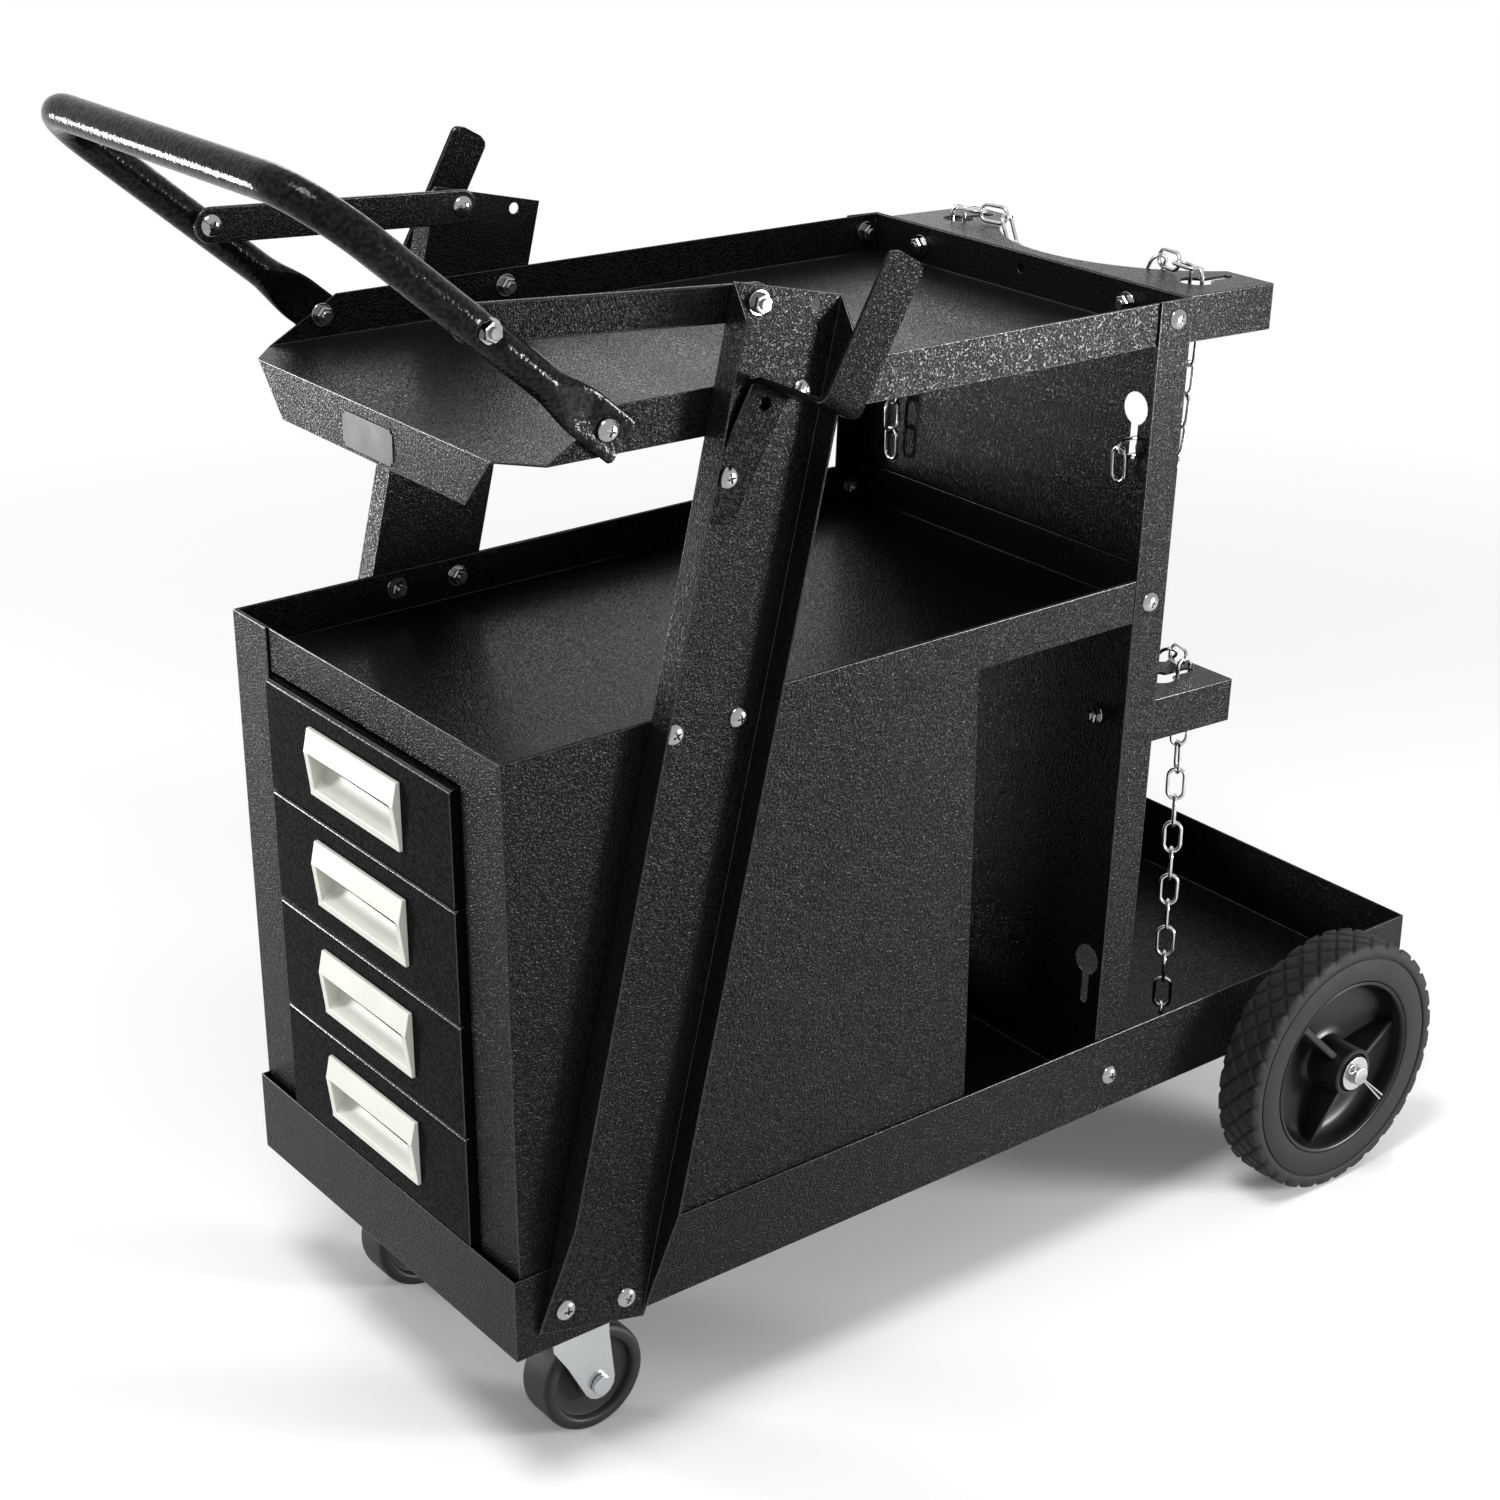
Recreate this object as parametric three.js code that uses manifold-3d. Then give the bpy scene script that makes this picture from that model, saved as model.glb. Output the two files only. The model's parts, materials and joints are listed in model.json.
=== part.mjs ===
import * as THREE from 'three';
import { mergeVertices } from 'three/examples/jsm/utils/BufferGeometryUtils.js';
import Module from 'manifold-3d';

const wasm = await Module();
wasm.setup();

// All sizes are in millimetres and degrees.
// X runs from the handle end to the gas bottle end, Y across the cart, Z up from the floor.
// X is counted from the front face of the base tray until the whole cart is centred at the end.

// Sheet metal
const sheet = 1.2;
const bracketSheet = 2;
const postSheet = 1.5;
const stripSheet = 3;
const gap = 0.3;
const turningGap = 0.1;

// Base tray, the lowest part of the frame
const baseLength = 734;
const baseWidth = 288;
const baseUnderside = 100;
const baseWall = 52;

// Drawer cabinet and the shelf on top of it
const cabinetFront = 4.5;
const cabinetDepth = 324.5;
const stileWidth = 39.1;
const shelfTop = 459.5;
const shelfWall = 26.5;

// Drawers
const drawerCount = 4;
const drawerGap = 1.5;
const drawerSideGap = 4.1;
const drawerLength = 300;
const drawerFrontDepth = 9;
const drawerEdgeRound = 3;
const ledgeWidth = 10;
const pullWidth = 97;
const pullHeight = 41;
const pullDrop = 13;
const pullRidge = 5.5;
const pullEdge = 2.5;
const cupDepth = 10;

// Leaning rear panel
const panelSetback = 20;
const panelLean = 2.49;
const panelHeight = 525;
const panelFlange = 25.7;
const keyholeRadius = 10;
const slotWidth = 6;
const panelSlotDrop = 31;
const panelKeyholeY = 105;
const panelKeyholeHeights = [85.6, 450.9];

// Brackets that hold the gas bottle
const bracketDepth = 77;
const bracketWidth = 268;
const bracketDrop = 28;
const bracketHeights = [272.2, 523.5];
const notchRadius = 104;
const notchPlate = 15;
const bracketKeyholeX = 39;
const bracketKeyholeY = 106.5;
const bracketSlotReach = 30;

// Leaning front posts
const postWidth = 73;
const postFlange = 16;
const postFootX = 52.3;
const postFootZ = 118.4;
const postLean = 13.73;
const postPinch = 0.26;
const postBelow = 13.8;
const postAbove = 574.4;
const postTopSlant = 16;
const postFootTaper = 70;

// Top tray
const trayFrontX = 39.3;
const trayFrontZ = 609;
const trayTilt = 1.1;
const trayLength = 444.1;
const trayWall = 25.5;
const trayWallSlant = 43.5;
const trayNose = 18.8;
const noseHalfWidth = 119.5;
const lipDrop = 28;
const lipHalfWidth = 94;

// Handle and its braces
const tubeRadius = 9.5;
const handleBoltX = 73;
const handleBoltZ = 623;
const gripX = -84;
const gripZ = 759.3;
const handleBend = 40;
const flatWidth = 26;
const flatThickness = 4.5;
const handleEnd = 13;
const braceWidth = 20;
const braceFront = [4, 685];
const braceRear = [168.5, 672];

// Torch hooks
const hookWidth = 26;
const hookLean = 30;
const hookBendX = 175.35;
const hookBendZ = 629.4;
const hookTail = 77;
const hookReach = 60;
const hookArm = 82;
const hookCorner = 5;

// Rear wheels
const axleX = 627.7;
const axleRadius = 6.35;
const wheelRadius = 89;
const tyreWidth = 33;
const wheelStandoff = 14.4;
const tyreBore = 62;
const treadBlocks = 32;
const treadRows = 4;
const treadDepth = 2.2;
const bossRadius = 16.5;
const bossReach = 7.6;
const ribCount = 3;
const ribAngle = 13;
const washerRadius = 12;
const washerThickness = 1.5;
const pinLeg = 36;

// Front casters
const kingpinX = 61.5;
const casterInset = 50;
const casterTrail = 14.2;
const casterRadius = 34.5;
const casterWidth = 27;
const forkClearance = 2.5;
const forkSheet = 2.5;
const casterAxleRadius = 4;
const mountPlateX = 60;
const mountPlateY = 50;

// Chains
const wire = 2.5;
const linkLength = 23.5;
const linkWidth = 13;
const linkOverlap = 0.5;

// Faces worked out from the sizes above
const halfBase = baseWidth / 2;
const panelFootX = trayFrontX + trayLength - panelSetback;
const casterY = halfBase - casterInset;
const sideFace = halfBase - sheet - gap;
const innerFace = sideFace - sheet - gap;
const baseFloor = baseUnderside + sheet;
const baseRim = baseUnderside + baseWall;
const standZ = baseFloor + gap;
const shelfBottom = shelfTop - shelfWall;
const postFace = halfBase + gap;
const cabinetRear = cabinetFront + cabinetDepth;
const linkPitch = linkLength - 2 * wire + linkOverlap;
const leanTan = Math.tan(THREE.MathUtils.degToRad(panelLean));
const leanCos = Math.cos(THREE.MathUtils.degToRad(panelLean));
const leanSin = Math.sin(THREE.MathUtils.degToRad(panelLean));

function paint(color, roughness, metalness) {
  return new THREE.MeshStandardMaterial({ color, roughness, metalness });
}

const blackPaint = paint(0x121212, 0.42, 0.25);
const glossPaint = paint(0x0c0c0c, 0.25, 0.25);
const ivoryPlastic = paint(0xdcdcc8, 0.45, 0);
const zinc = paint(0xb9bdbe, 0.3, 0.9);
const steel = paint(0xa5a8aa, 0.35, 0.9);
const rubber = paint(0x2b2c2d, 0.85, 0);
const hubPlastic = paint(0x0e0e0f, 0.25, 0);
const casterPlastic = paint(0x34373a, 0.6, 0);

const cart = new THREE.Group();
cart.name = 'welding_cart';

function add(name, geometry, material) {
  const mesh = new THREE.Mesh(geometry, material);
  mesh.name = name;
  cart.add(mesh);
}

// Adds a right-hand piece and its mirror image on the left
function addPair(name, geometry, material) {
  add(`${name}_right`, geometry, material);
  add(`${name}_left`, mirrored(geometry), material);
}

function radians(degrees) {
  return THREE.MathUtils.degToRad(degrees);
}

// Joins equal corners and drops flat triangles, so that a surface is closed
function closed(geometry) {
  const bare = geometry.clone();
  bare.deleteAttribute('normal');
  bare.deleteAttribute('uv');
  const merged = mergeVertices(bare, 1e-4);
  const index = merged.index.array;
  const kept = [];
  for (let i = 0; i < index.length; i += 3) {
    const [a, b, c] = [index[i], index[i + 1], index[i + 2]];
    if (a !== b && b !== c && c !== a) kept.push(a, b, c);
  }
  merged.setIndex(kept);
  return merged;
}

function toSolid(geometry) {
  const shape = closed(geometry);
  return new wasm.Manifold(new wasm.Mesh({
    numProp: 3,
    vertProperties: new Float32Array(shape.attributes.position.array),
    triVerts: new Uint32Array(shape.index.array),
  }));
}

function toGeometry(solid) {
  const mesh = solid.getMesh();
  const geometry = new THREE.BufferGeometry();
  geometry.setAttribute('position', new THREE.Float32BufferAttribute(mesh.vertProperties, 3));
  geometry.setIndex(Array.from(mesh.triVerts));
  return geometry;
}

function join(first, ...others) {
  return toGeometry(others.reduce((whole, piece) => whole.add(toSolid(piece)), toSolid(first)));
}

function cut(first, ...tools) {
  return toGeometry(tools.reduce((whole, tool) => whole.subtract(toSolid(tool)), toSolid(first)));
}

function mirrored(geometry) {
  const copy = closed(geometry);
  copy.scale(1, -1, 1);
  const index = Array.from(copy.index.array);
  for (let i = 0; i < index.length; i += 3) {
    [index[i + 1], index[i + 2]] = [index[i + 2], index[i + 1]];
  }
  copy.setIndex(index);
  return copy;
}

function box(x0, x1, y0, y1, z0, z1) {
  const geometry = new THREE.BoxGeometry(x1 - x0, y1 - y0, z1 - z0);
  return geometry.translate((x0 + x1) / 2, (y0 + y1) / 2, (z0 + z1) / 2);
}

// A tray folded from one sheet: floor and four walls
function foldedTray(x0, x1, halfY, z0, z1) {
  const outside = box(x0, x1, -halfY, halfY, z0, z1);
  const inside = box(x0 + sheet, x1 - sheet, sheet - halfY, halfY - sheet, z0 + sheet, z1 + 1);
  return cut(outside, inside);
}

function rod(axis, radius, from, to, sides) {
  const geometry = new THREE.CylinderGeometry(radius, radius, to - from, sides);
  if (axis === 'x') geometry.rotateZ(-Math.PI / 2);
  if (axis === 'z') geometry.rotateX(Math.PI / 2);
  const middle = (from + to) / 2;
  return geometry.translate(axis === 'x' ? middle : 0, axis === 'y' ? middle : 0, axis === 'z' ? middle : 0);
}

function outline(points) {
  return new THREE.Shape(points.map(([u, v]) => new THREE.Vector2(u, v)));
}

function thick(shape, depth, curveSegments = 12) {
  return new THREE.ExtrudeGeometry(shape, { depth, bevelEnabled: false, curveSegments });
}

// A flat plate drawn in X and Z, with its thickness towards +Y from y0
function plateXZ(points, y0, depth) {
  return thick(outline(points), depth).rotateX(Math.PI / 2).translate(0, y0 + depth, 0);
}

// A flat plate drawn in Y and Z, with its thickness towards +X from x0
function plateYZ(points, x0, depth) {
  const turn = new THREE.Matrix4().makeBasis(
    new THREE.Vector3(0, 1, 0),
    new THREE.Vector3(0, 0, 1),
    new THREE.Vector3(1, 0, 0),
  );
  return thick(outline(points), depth).applyMatrix4(turn).translate(x0, 0, 0);
}

// A flat plate drawn in X and Y, with its thickness upwards from z0
function plateXY(points, z0, depth) {
  return thick(outline(points), depth).translate(0, 0, z0);
}

// Skins a row of rings; the row closes on itself or gets two end caps
function loft(rings, loop) {
  const sides = rings[0].length;
  const positions = rings.flat().flatMap((point) => [point.x, point.y, point.z]);
  const index = [];
  const bands = loop ? rings.length : rings.length - 1;
  for (let ring = 0; ring < bands; ring += 1) {
    const next = (ring + 1) % rings.length;
    for (let side = 0; side < sides; side += 1) {
      const other = (side + 1) % sides;
      const [a, b] = [ring * sides + side, ring * sides + other];
      const [c, d] = [next * sides + other, next * sides + side];
      index.push(a, b, c, a, c, d);
    }
  }
  const last = (rings.length - 1) * sides;
  for (let side = 1; !loop && side < sides - 1; side += 1) {
    index.push(0, side + 1, side, last, last + side, last + side + 1);
  }
  const geometry = new THREE.BufferGeometry();
  geometry.setAttribute('position', new THREE.Float32BufferAttribute(positions, 3));
  geometry.setIndex(index);
  return geometry;
}

// Places a shape on the leaning rear panel: X behind its rear face, Z along its height
function ontoPanel(geometry) {
  return geometry.rotateY(radians(panelLean)).translate(panelFootX, 0, standZ);
}

function panelPoint(behind, across, up) {
  const x = panelFootX + behind * leanCos + up * leanSin;
  return new THREE.Vector3(x, across, standZ + up * leanCos - behind * leanSin);
}

function panelFlangeFront(z) {
  return panelFootX + (z - standZ) * leanTan - panelFlange / leanCos;
}

// A round hole that runs into a narrow slot along one direction
function keyhole(reach, depth) {
  const half = slotWidth / 2;
  const start = Math.sqrt(keyholeRadius ** 2 - half ** 2);
  const open = Math.asin(half / keyholeRadius);
  const shape = new THREE.Shape();
  shape.moveTo(start, half);
  shape.absarc(0, 0, keyholeRadius, open, 2 * Math.PI - open, false);
  shape.lineTo(reach - half, -half);
  shape.absarc(reach - half, 0, half, -Math.PI / 2, Math.PI / 2, false);
  shape.lineTo(start, half);
  return thick(shape, depth, 8);
}

function buildBase() {
  add('base_tray', foldedTray(0, baseLength, halfBase, baseUnderside, baseRim), blackPaint);
}

// One bent sheet on each side: front stile, side wall and the band that runs back to the panel
function buildCabinet() {
  const wall = plateXZ([
    [cabinetFront, standZ],
    [cabinetRear, standZ],
    [cabinetRear, shelfBottom],
    [panelFlangeFront(shelfBottom) - 2 * gap, shelfBottom],
    [panelFlangeFront(shelfTop) - 2 * gap, shelfTop],
    [cabinetFront, shelfTop],
  ], -sideFace, sheet);
  const stile = box(cabinetFront, cabinetFront + sheet, -sideFace, stileWidth - sideFace, standZ, shelfTop);
  addPair('cabinet_side', join(wall, stile), blackPaint);

  const shelfFront = cabinetFront + sheet + gap;
  const shelfRear = panelFootX + (shelfBottom - standZ) * leanTan - sheet / leanCos - gap;
  const shelf = foldedTray(shelfFront, shelfRear, innerFace, shelfBottom, shelfTop);
  add('mid_shelf', shelf, blackPaint);

  const backFace = cabinetRear - 2;
  const back = box(backFace, backFace + sheet, -innerFace, innerFace, standZ, shelfBottom - gap);
  add('cabinet_back', back, blackPaint);
}

const drawerBottom = baseRim + sheet;
const drawerPitch = (shelfBottom - drawerBottom) / drawerCount;
const drawerHeight = drawerPitch - drawerGap;
const drawerHalf = sideFace - stileWidth - drawerSideGap;
const boxHalf = drawerHalf - 2.3;
const boxRise = 4;

function drawerFloor(number) {
  return drawerBottom + (drawerCount - number) * drawerPitch;
}

// A comb-shaped runner on each side: four ledges under the drawers and two flanges to the cabinet side
function buildRunners() {
  const plate = drawerHalf + 1;
  const top = shelfBottom - gap;
  const profile = [
    [-innerFace + gap, standZ],
    [-plate, standZ],
  ];
  for (let number = drawerCount; number >= 1; number -= 1) {
    const ledge = drawerFloor(number) + boxRise - gap;
    profile.push([-plate, ledge - sheet], [ledgeWidth - plate, ledge - sheet]);
    profile.push([ledgeWidth - plate, ledge], [-plate, ledge]);
  }
  profile.push([-plate, top], [-innerFace + gap, top], [-innerFace + gap, top - sheet]);
  profile.push([-plate - sheet, top - sheet], [-plate - sheet, standZ + sheet], [-innerFace + gap, standZ + sheet]);
  const front = cabinetFront + drawerFrontDepth;
  const rear = cabinetRear - 2 - 2;
  addPair('drawer_runner', plateYZ(profile, front, rear - front), blackPaint);
}

// A rounded slab for the drawer front, drawn in X and Z
function roundedFront(x0, x1, half, z0, z1, round) {
  const points = [[x1, z0], [x1, z1], [x0 + round, z1]];
  for (let step = 1; step <= 4; step += 1) {
    const angle = radians(90 + step * 22.5);
    points.push([x0 + round + round * Math.cos(angle), z1 - round + round * Math.sin(angle)]);
  }
  points.push([x0, z0]);
  return plateXZ(points.reverse(), -half, 2 * half);
}

function pullSpan(floor) {
  const top = floor + drawerHeight - pullDrop;
  return [top - pullHeight, top];
}

const cupHalf = pullWidth / 2 - 4;
const cupMargin = 5;

function buildDrawers() {
  for (let number = 1; number <= drawerCount; number += 1) {
    const floor = drawerFloor(number);
    const top = floor + drawerHeight;
    const front = roundedFront(0, drawerFrontDepth, drawerHalf, floor, top, drawerEdgeRound);
    const hollow = roundedFront(sheet, drawerFrontDepth + 1, drawerHalf - sheet, floor + sheet, top - sheet,
      drawerEdgeRound - sheet);
    const [low, high] = pullSpan(floor);
    const body = box(sheet / 2, drawerLength, -boxHalf, boxHalf, floor + boxRise, top - boxRise);
    const room = box(sheet, drawerLength - sheet, sheet - boxHalf, boxHalf - sheet, floor + boxRise + sheet, top);
    const reach = cupHalf + gap;
    const window = box(-1, 2 * sheet, -reach, reach, low + cupMargin - gap, high - cupMargin + gap);
    add(`drawer_${number}`, cut(join(cut(front, hollow), cut(body, room)), window), blackPaint);
    add(`drawer_pull_${number}`, pull(low, high), ivoryPlastic);
  }
}

// A plastic finger pull: ridge across the front, hollow cup behind it
function pull(low, high) {
  const ridge = high - pullHeight / 3;
  const face = plateXZ([
    [0, low],
    [0, high],
    [-pullEdge, high],
    [-pullRidge, ridge],
    [-pullEdge, low + cupMargin],
    [-pullEdge, low],
  ].reverse(), -pullWidth / 2, pullWidth);
  const cup = box(-1, cupDepth, -cupHalf, cupHalf, low + cupMargin, high - cupMargin);
  const inner = cupHalf - 1.5;
  const opening = box(-pullRidge - 1, cupDepth - 1.5, -inner, inner, low + 1.5 * cupMargin, ridge);
  const finger = box(-0.5, cupDepth - 1.5, -inner, inner, ridge - 1, high - cupMargin - 1.5);
  return cut(join(face, cup), opening, finger);
}

function buildPanel() {
  const blank = box(-panelFlange, 0, -sideFace, sideFace, 0, panelHeight);
  const inside = box(-panelFlange - 1, -sheet, sheet - sideFace, sideFace - sheet, -1, panelHeight + 1);
  const holes = [];
  for (const height of panelKeyholeHeights) {
    for (const side of [-1, 1]) {
      const hole = keyhole(panelSlotDrop, 6 * sheet).rotateY(Math.PI / 2);
      holes.push(hole.translate(-4 * sheet, side * panelKeyholeY, height));
    }
  }
  add('rear_panel', ontoPanel(cut(blank, inside, ...holes)), blackPaint);
}

// A shelf bracket behind the panel, with a round notch for the bottle and two chain keyholes
function buildBrackets() {
  const names = ['lower_tank_bracket', 'upper_tank_bracket'];
  const half = bracketWidth / 2;
  const notchX = gap + notchPlate + notchRadius;
  names.forEach((name, place) => {
    const top = bracketHeights[place];
    const outside = box(gap, gap + bracketDepth, -half, half, top - bracketDrop, top);
    const inside = box(gap + bracketSheet, bracketDepth + 2, bracketSheet - half, half - bracketSheet,
      top - bracketDrop - 1, top - bracketSheet);
    const notch = rod('z', notchRadius, top - bracketDrop - 1, top + 1, 72).translate(notchX, 0, 0);
    const holes = [-1, 1].map((side) => keyhole(bracketSlotReach, 4 * bracketSheet)
      .translate(bracketKeyholeX, side * bracketKeyholeY, top - 3 * bracketSheet));
    add(name, ontoPanel(cut(outside, inside, notch, ...holes)), blackPaint);
  });
}

function ontoPost(geometry) {
  return geometry
    .rotateX(-radians(postPinch))
    .rotateY(radians(postLean))
    .translate(postFootX, -postFace, postFootZ);
}

// Distance of the outer face of the post web from the middle of the cart, at one height
function webFace(z) {
  const along = (z - postFootZ) / Math.cos(radians(postLean));
  return postFace + postSheet - along * Math.sin(radians(postPinch));
}

// A channel with its open side outwards; the flanges run out at both ends
function buildPosts() {
  const half = postWidth / 2;
  const web = box(-half, half, -postSheet, 0, -postBelow, postAbove);
  const flange = [
    [0, -postBelow],
    [0, postAbove],
    [-postSheet, postAbove],
    [-postFlange, postAbove - postTopSlant],
    [-postFlange, postFootTaper - postBelow],
    [-postSheet, -postBelow],
  ].reverse();
  const front = plateYZ(flange, -half, postSheet);
  const rear = plateYZ(flange, half - postSheet, postSheet);
  addPair('front_post', ontoPost(join(web, front, rear)), blackPaint);
}

function buildTopTray() {
  const floor = plateXY([
    [trayLength, -innerFace],
    [trayLength, innerFace],
    [0, innerFace],
    [-trayNose, noseHalfWidth],
    [-trayNose, -noseHalfWidth],
    [0, -innerFace],
  ], 0, sheet);
  const wall = [
    [0, 0],
    [trayLength, 0],
    [trayLength, trayWall],
    [trayWallSlant, trayWall],
    [0, sheet],
  ];
  const right = plateXZ(wall, -innerFace, sheet);
  const left = plateXZ(wall, innerFace - sheet, sheet);
  const rear = box(trayLength - sheet, trayLength, -innerFace, innerFace, 0, trayWall);
  const lip = plateYZ([
    [-lipHalfWidth, -lipDrop],
    [lipHalfWidth, -lipDrop],
    [noseHalfWidth, sheet],
    [-noseHalfWidth, sheet],
  ], -trayNose, sheet);
  const tray = join(floor, right, left, rear, lip);
  add('top_tray', tray.rotateY(radians(trayTilt)).translate(trayFrontX, 0, trayFrontZ), blackPaint);
}

const handlePlane = innerFace + gap + flatThickness / 2;
const armLength = Math.hypot(gripX - handleBoltX, gripZ - handleBoltZ);
const armAlong = new THREE.Vector3((gripX - handleBoltX) / armLength, 0, (gripZ - handleBoltZ) / armLength);
const armAcross = new THREE.Vector3(armAlong.z, 0, -armAlong.x);

// One cross-section of the handle tube: round, or pressed flat at the bolted ends
function handleRing(along, across, heading, flat) {
  const centre = new THREE.Vector3(handleBoltX, across, handleBoltZ).addScaledVector(armAlong, along);
  const inward = new THREE.Vector3(0, Math.cos(heading), 0).addScaledVector(armAlong, -Math.sin(heading));
  const wide = THREE.MathUtils.lerp(tubeRadius, flatWidth / 2, flat);
  const thin = THREE.MathUtils.lerp(tubeRadius, flatThickness / 2, flat);
  const power = THREE.MathUtils.lerp(1, 0.45, flat);
  const ring = [];
  for (let side = 0; side < 12; side += 1) {
    const angle = (side / 12) * 2 * Math.PI;
    const u = Math.sign(Math.cos(angle)) * Math.abs(Math.cos(angle)) ** power;
    const v = Math.sign(Math.sin(angle)) * Math.abs(Math.sin(angle)) ** power;
    ring.push(centre.clone().addScaledVector(armAcross, wide * u).addScaledVector(inward, thin * v));
  }
  return ring;
}

// A bent tube: flat end, arm, bend, grip and the same back down the other side
function buildHandle() {
  const rings = [
    handleRing(-handleEnd, -handlePlane, 0, 1),
    handleRing(handleEnd + 3, -handlePlane, 0, 1),
    handleRing(handleEnd + 19, -handlePlane, 0, 0.7),
    handleRing(handleEnd + 35, -handlePlane, 0, 0.25),
    handleRing(handleEnd + 51, -handlePlane, 0, 0),
  ];
  const corner = armLength - handleBend;
  for (let step = 0; step <= 5; step += 1) {
    const turn = radians(step * 18);
    const across = -handlePlane + handleBend * (1 - Math.cos(turn));
    rings.push(handleRing(corner + handleBend * Math.sin(turn), across, turn, 0));
  }
  const other = rings.map((ring) => ring.map((point) => new THREE.Vector3(point.x, -point.y, point.z)));
  add('handle', loft([...rings, ...other.reverse()], false), glossPaint);
}

// A flat bar from the inside of the handle arm to the inside of the post
function buildBraces() {
  const frontFace = handlePlane - tubeRadius - 3 * gap;
  const rearFace = webFace(braceRear[1]) - postSheet - 2 * gap;
  const from = new THREE.Vector3(braceFront[0], -frontFace, braceFront[1]);
  const to = new THREE.Vector3(braceRear[0], -rearFace, braceRear[1]);
  const length = from.distanceTo(to);
  const end = braceWidth / 2;
  const shape = new THREE.Shape();
  shape.moveTo(0, -end);
  shape.lineTo(length, -end);
  shape.absarc(length, 0, end, -Math.PI / 2, Math.PI / 2, false);
  shape.lineTo(0, end);
  shape.absarc(0, 0, end, Math.PI / 2, 1.5 * Math.PI, false);
  const along = to.clone().sub(from).normalize();
  const inward = new THREE.Vector3(0, 1, 0).addScaledVector(along, -along.y).normalize();
  const upward = new THREE.Vector3().crossVectors(inward, along);
  const place = new THREE.Matrix4().makeBasis(along, upward, inward).setPosition(from);
  addPair('handle_brace', thick(shape, stripSheet, 6).applyMatrix4(place), blackPaint);
}

// A strip bent twice: flat on the post, out over its flange and up again
function buildHooks() {
  const face = webFace(hookBendZ - hookTail) + gap;
  const half = hookWidth / 2;
  const out = hookReach - stripSheet;
  const strip = plateYZ([
    [0, -hookTail],
    [0, 0],
    [-out, 0],
    [-out, hookArm],
    [-hookReach, hookArm],
    [-hookReach, -stripSheet],
    [-stripSheet, -stripSheet],
    [-stripSheet, -hookTail],
  ], -half, hookWidth);
  const blank = plateXZ([
    [hookCorner - half, -hookTail],
    [half - hookCorner, -hookTail],
    [half, hookCorner - hookTail],
    [half, hookArm - hookCorner],
    [half - hookCorner, hookArm],
    [hookCorner - half, hookArm],
    [-half, hookArm - hookCorner],
    [-half, hookCorner - hookTail],
  ], -hookReach - 1, hookReach + 2);
  const hook = toGeometry(toSolid(strip).intersect(toSolid(blank)));
  addPair('torch_hook', hook.rotateY(radians(hookLean)).translate(hookBendX, -face, hookBendZ), blackPaint);
}

const wheelInner = halfBase + wheelStandoff;
const bossEnd = wheelInner + tyreWidth + bossReach;
const washerStart = bossEnd + gap;
const pinY = washerStart + washerThickness + 2.6;
const axleEnd = pinY + 2.6;
const axleZ = wheelRadius;
const pinRadius = 1.5;
const boreRadius = axleRadius + turningGap;

// Turns a piece drawn round the origin into a right-hand piece on the rear axle
function ontoAxle(geometry) {
  return geometry.translate(axleX, 0, axleZ);
}

function buildAxle() {
  const shaft = rod('y', axleRadius, -axleEnd, axleEnd, 24);
  const holes = [-1, 1].map((side) => rod('x', pinRadius + turningGap, -2 * axleRadius, 2 * axleRadius, 8)
    .rotateY(radians(45))
    .translate(0, side * pinY, 0));
  add('rear_axle', ontoAxle(cut(shaft, ...holes)), steel);

  const cheekFace = halfBase - 4;
  const top = baseUnderside - gap - axleZ;
  const cheek = plateXZ([
    [-28, top],
    [-10, -axleRadius - 5],
    [10, -axleRadius - 5],
    [28, top],
  ], -cheekFace, bracketSheet);
  const foot = box(-28, 28, -cheekFace, 32 - cheekFace, top - bracketSheet, top);
  const hole = rod('y', boreRadius, -cheekFace - 1, bracketSheet + 1 - cheekFace, 24);
  addPair('axle_bracket', ontoAxle(cut(join(cheek, foot), hole)), blackPaint);

  const washer = rod('y', washerRadius, -washerStart - washerThickness, -washerStart, 24);
  const washerHole = rod('y', boreRadius, -washerStart - 2 * washerThickness, washerThickness - washerStart, 24);
  addPair('axle_washer', ontoAxle(cut(washer, washerHole)), zinc);

  const start = -axleRadius - 1;
  const eye = new THREE.TorusGeometry(3.2, 0.9, 5, 10).rotateX(Math.PI / 2).translate(start - 2.6, 0, 0);
  const legs = [-1, 1].map((side) => rod('x', 0.75, axleRadius, pinLeg, 6).rotateY(radians(2.5 * side)));
  const pin = join(rod('x', pinRadius, start, axleRadius + 3, 8), eye, ...legs);
  addPair('cotter_pin', ontoAxle(pin.rotateY(radians(45)).translate(0, -pinY, 0)), zinc);
}

function outward(geometry) {
  const { array } = geometry.attributes.position;
  const index = Array.from(geometry.index.array);
  const corner = (i) => new THREE.Vector3().fromArray(array, 3 * i);
  let volume = 0;
  for (let i = 0; i < index.length; i += 3) {
    volume += corner(index[i]).dot(corner(index[i + 1]).cross(corner(index[i + 2])));
  }
  for (let i = 0; volume < 0 && i < index.length; i += 3) {
    [index[i + 1], index[i + 2]] = [index[i + 2], index[i + 1]];
  }
  geometry.setIndex(index);
  return geometry;
}

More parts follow.
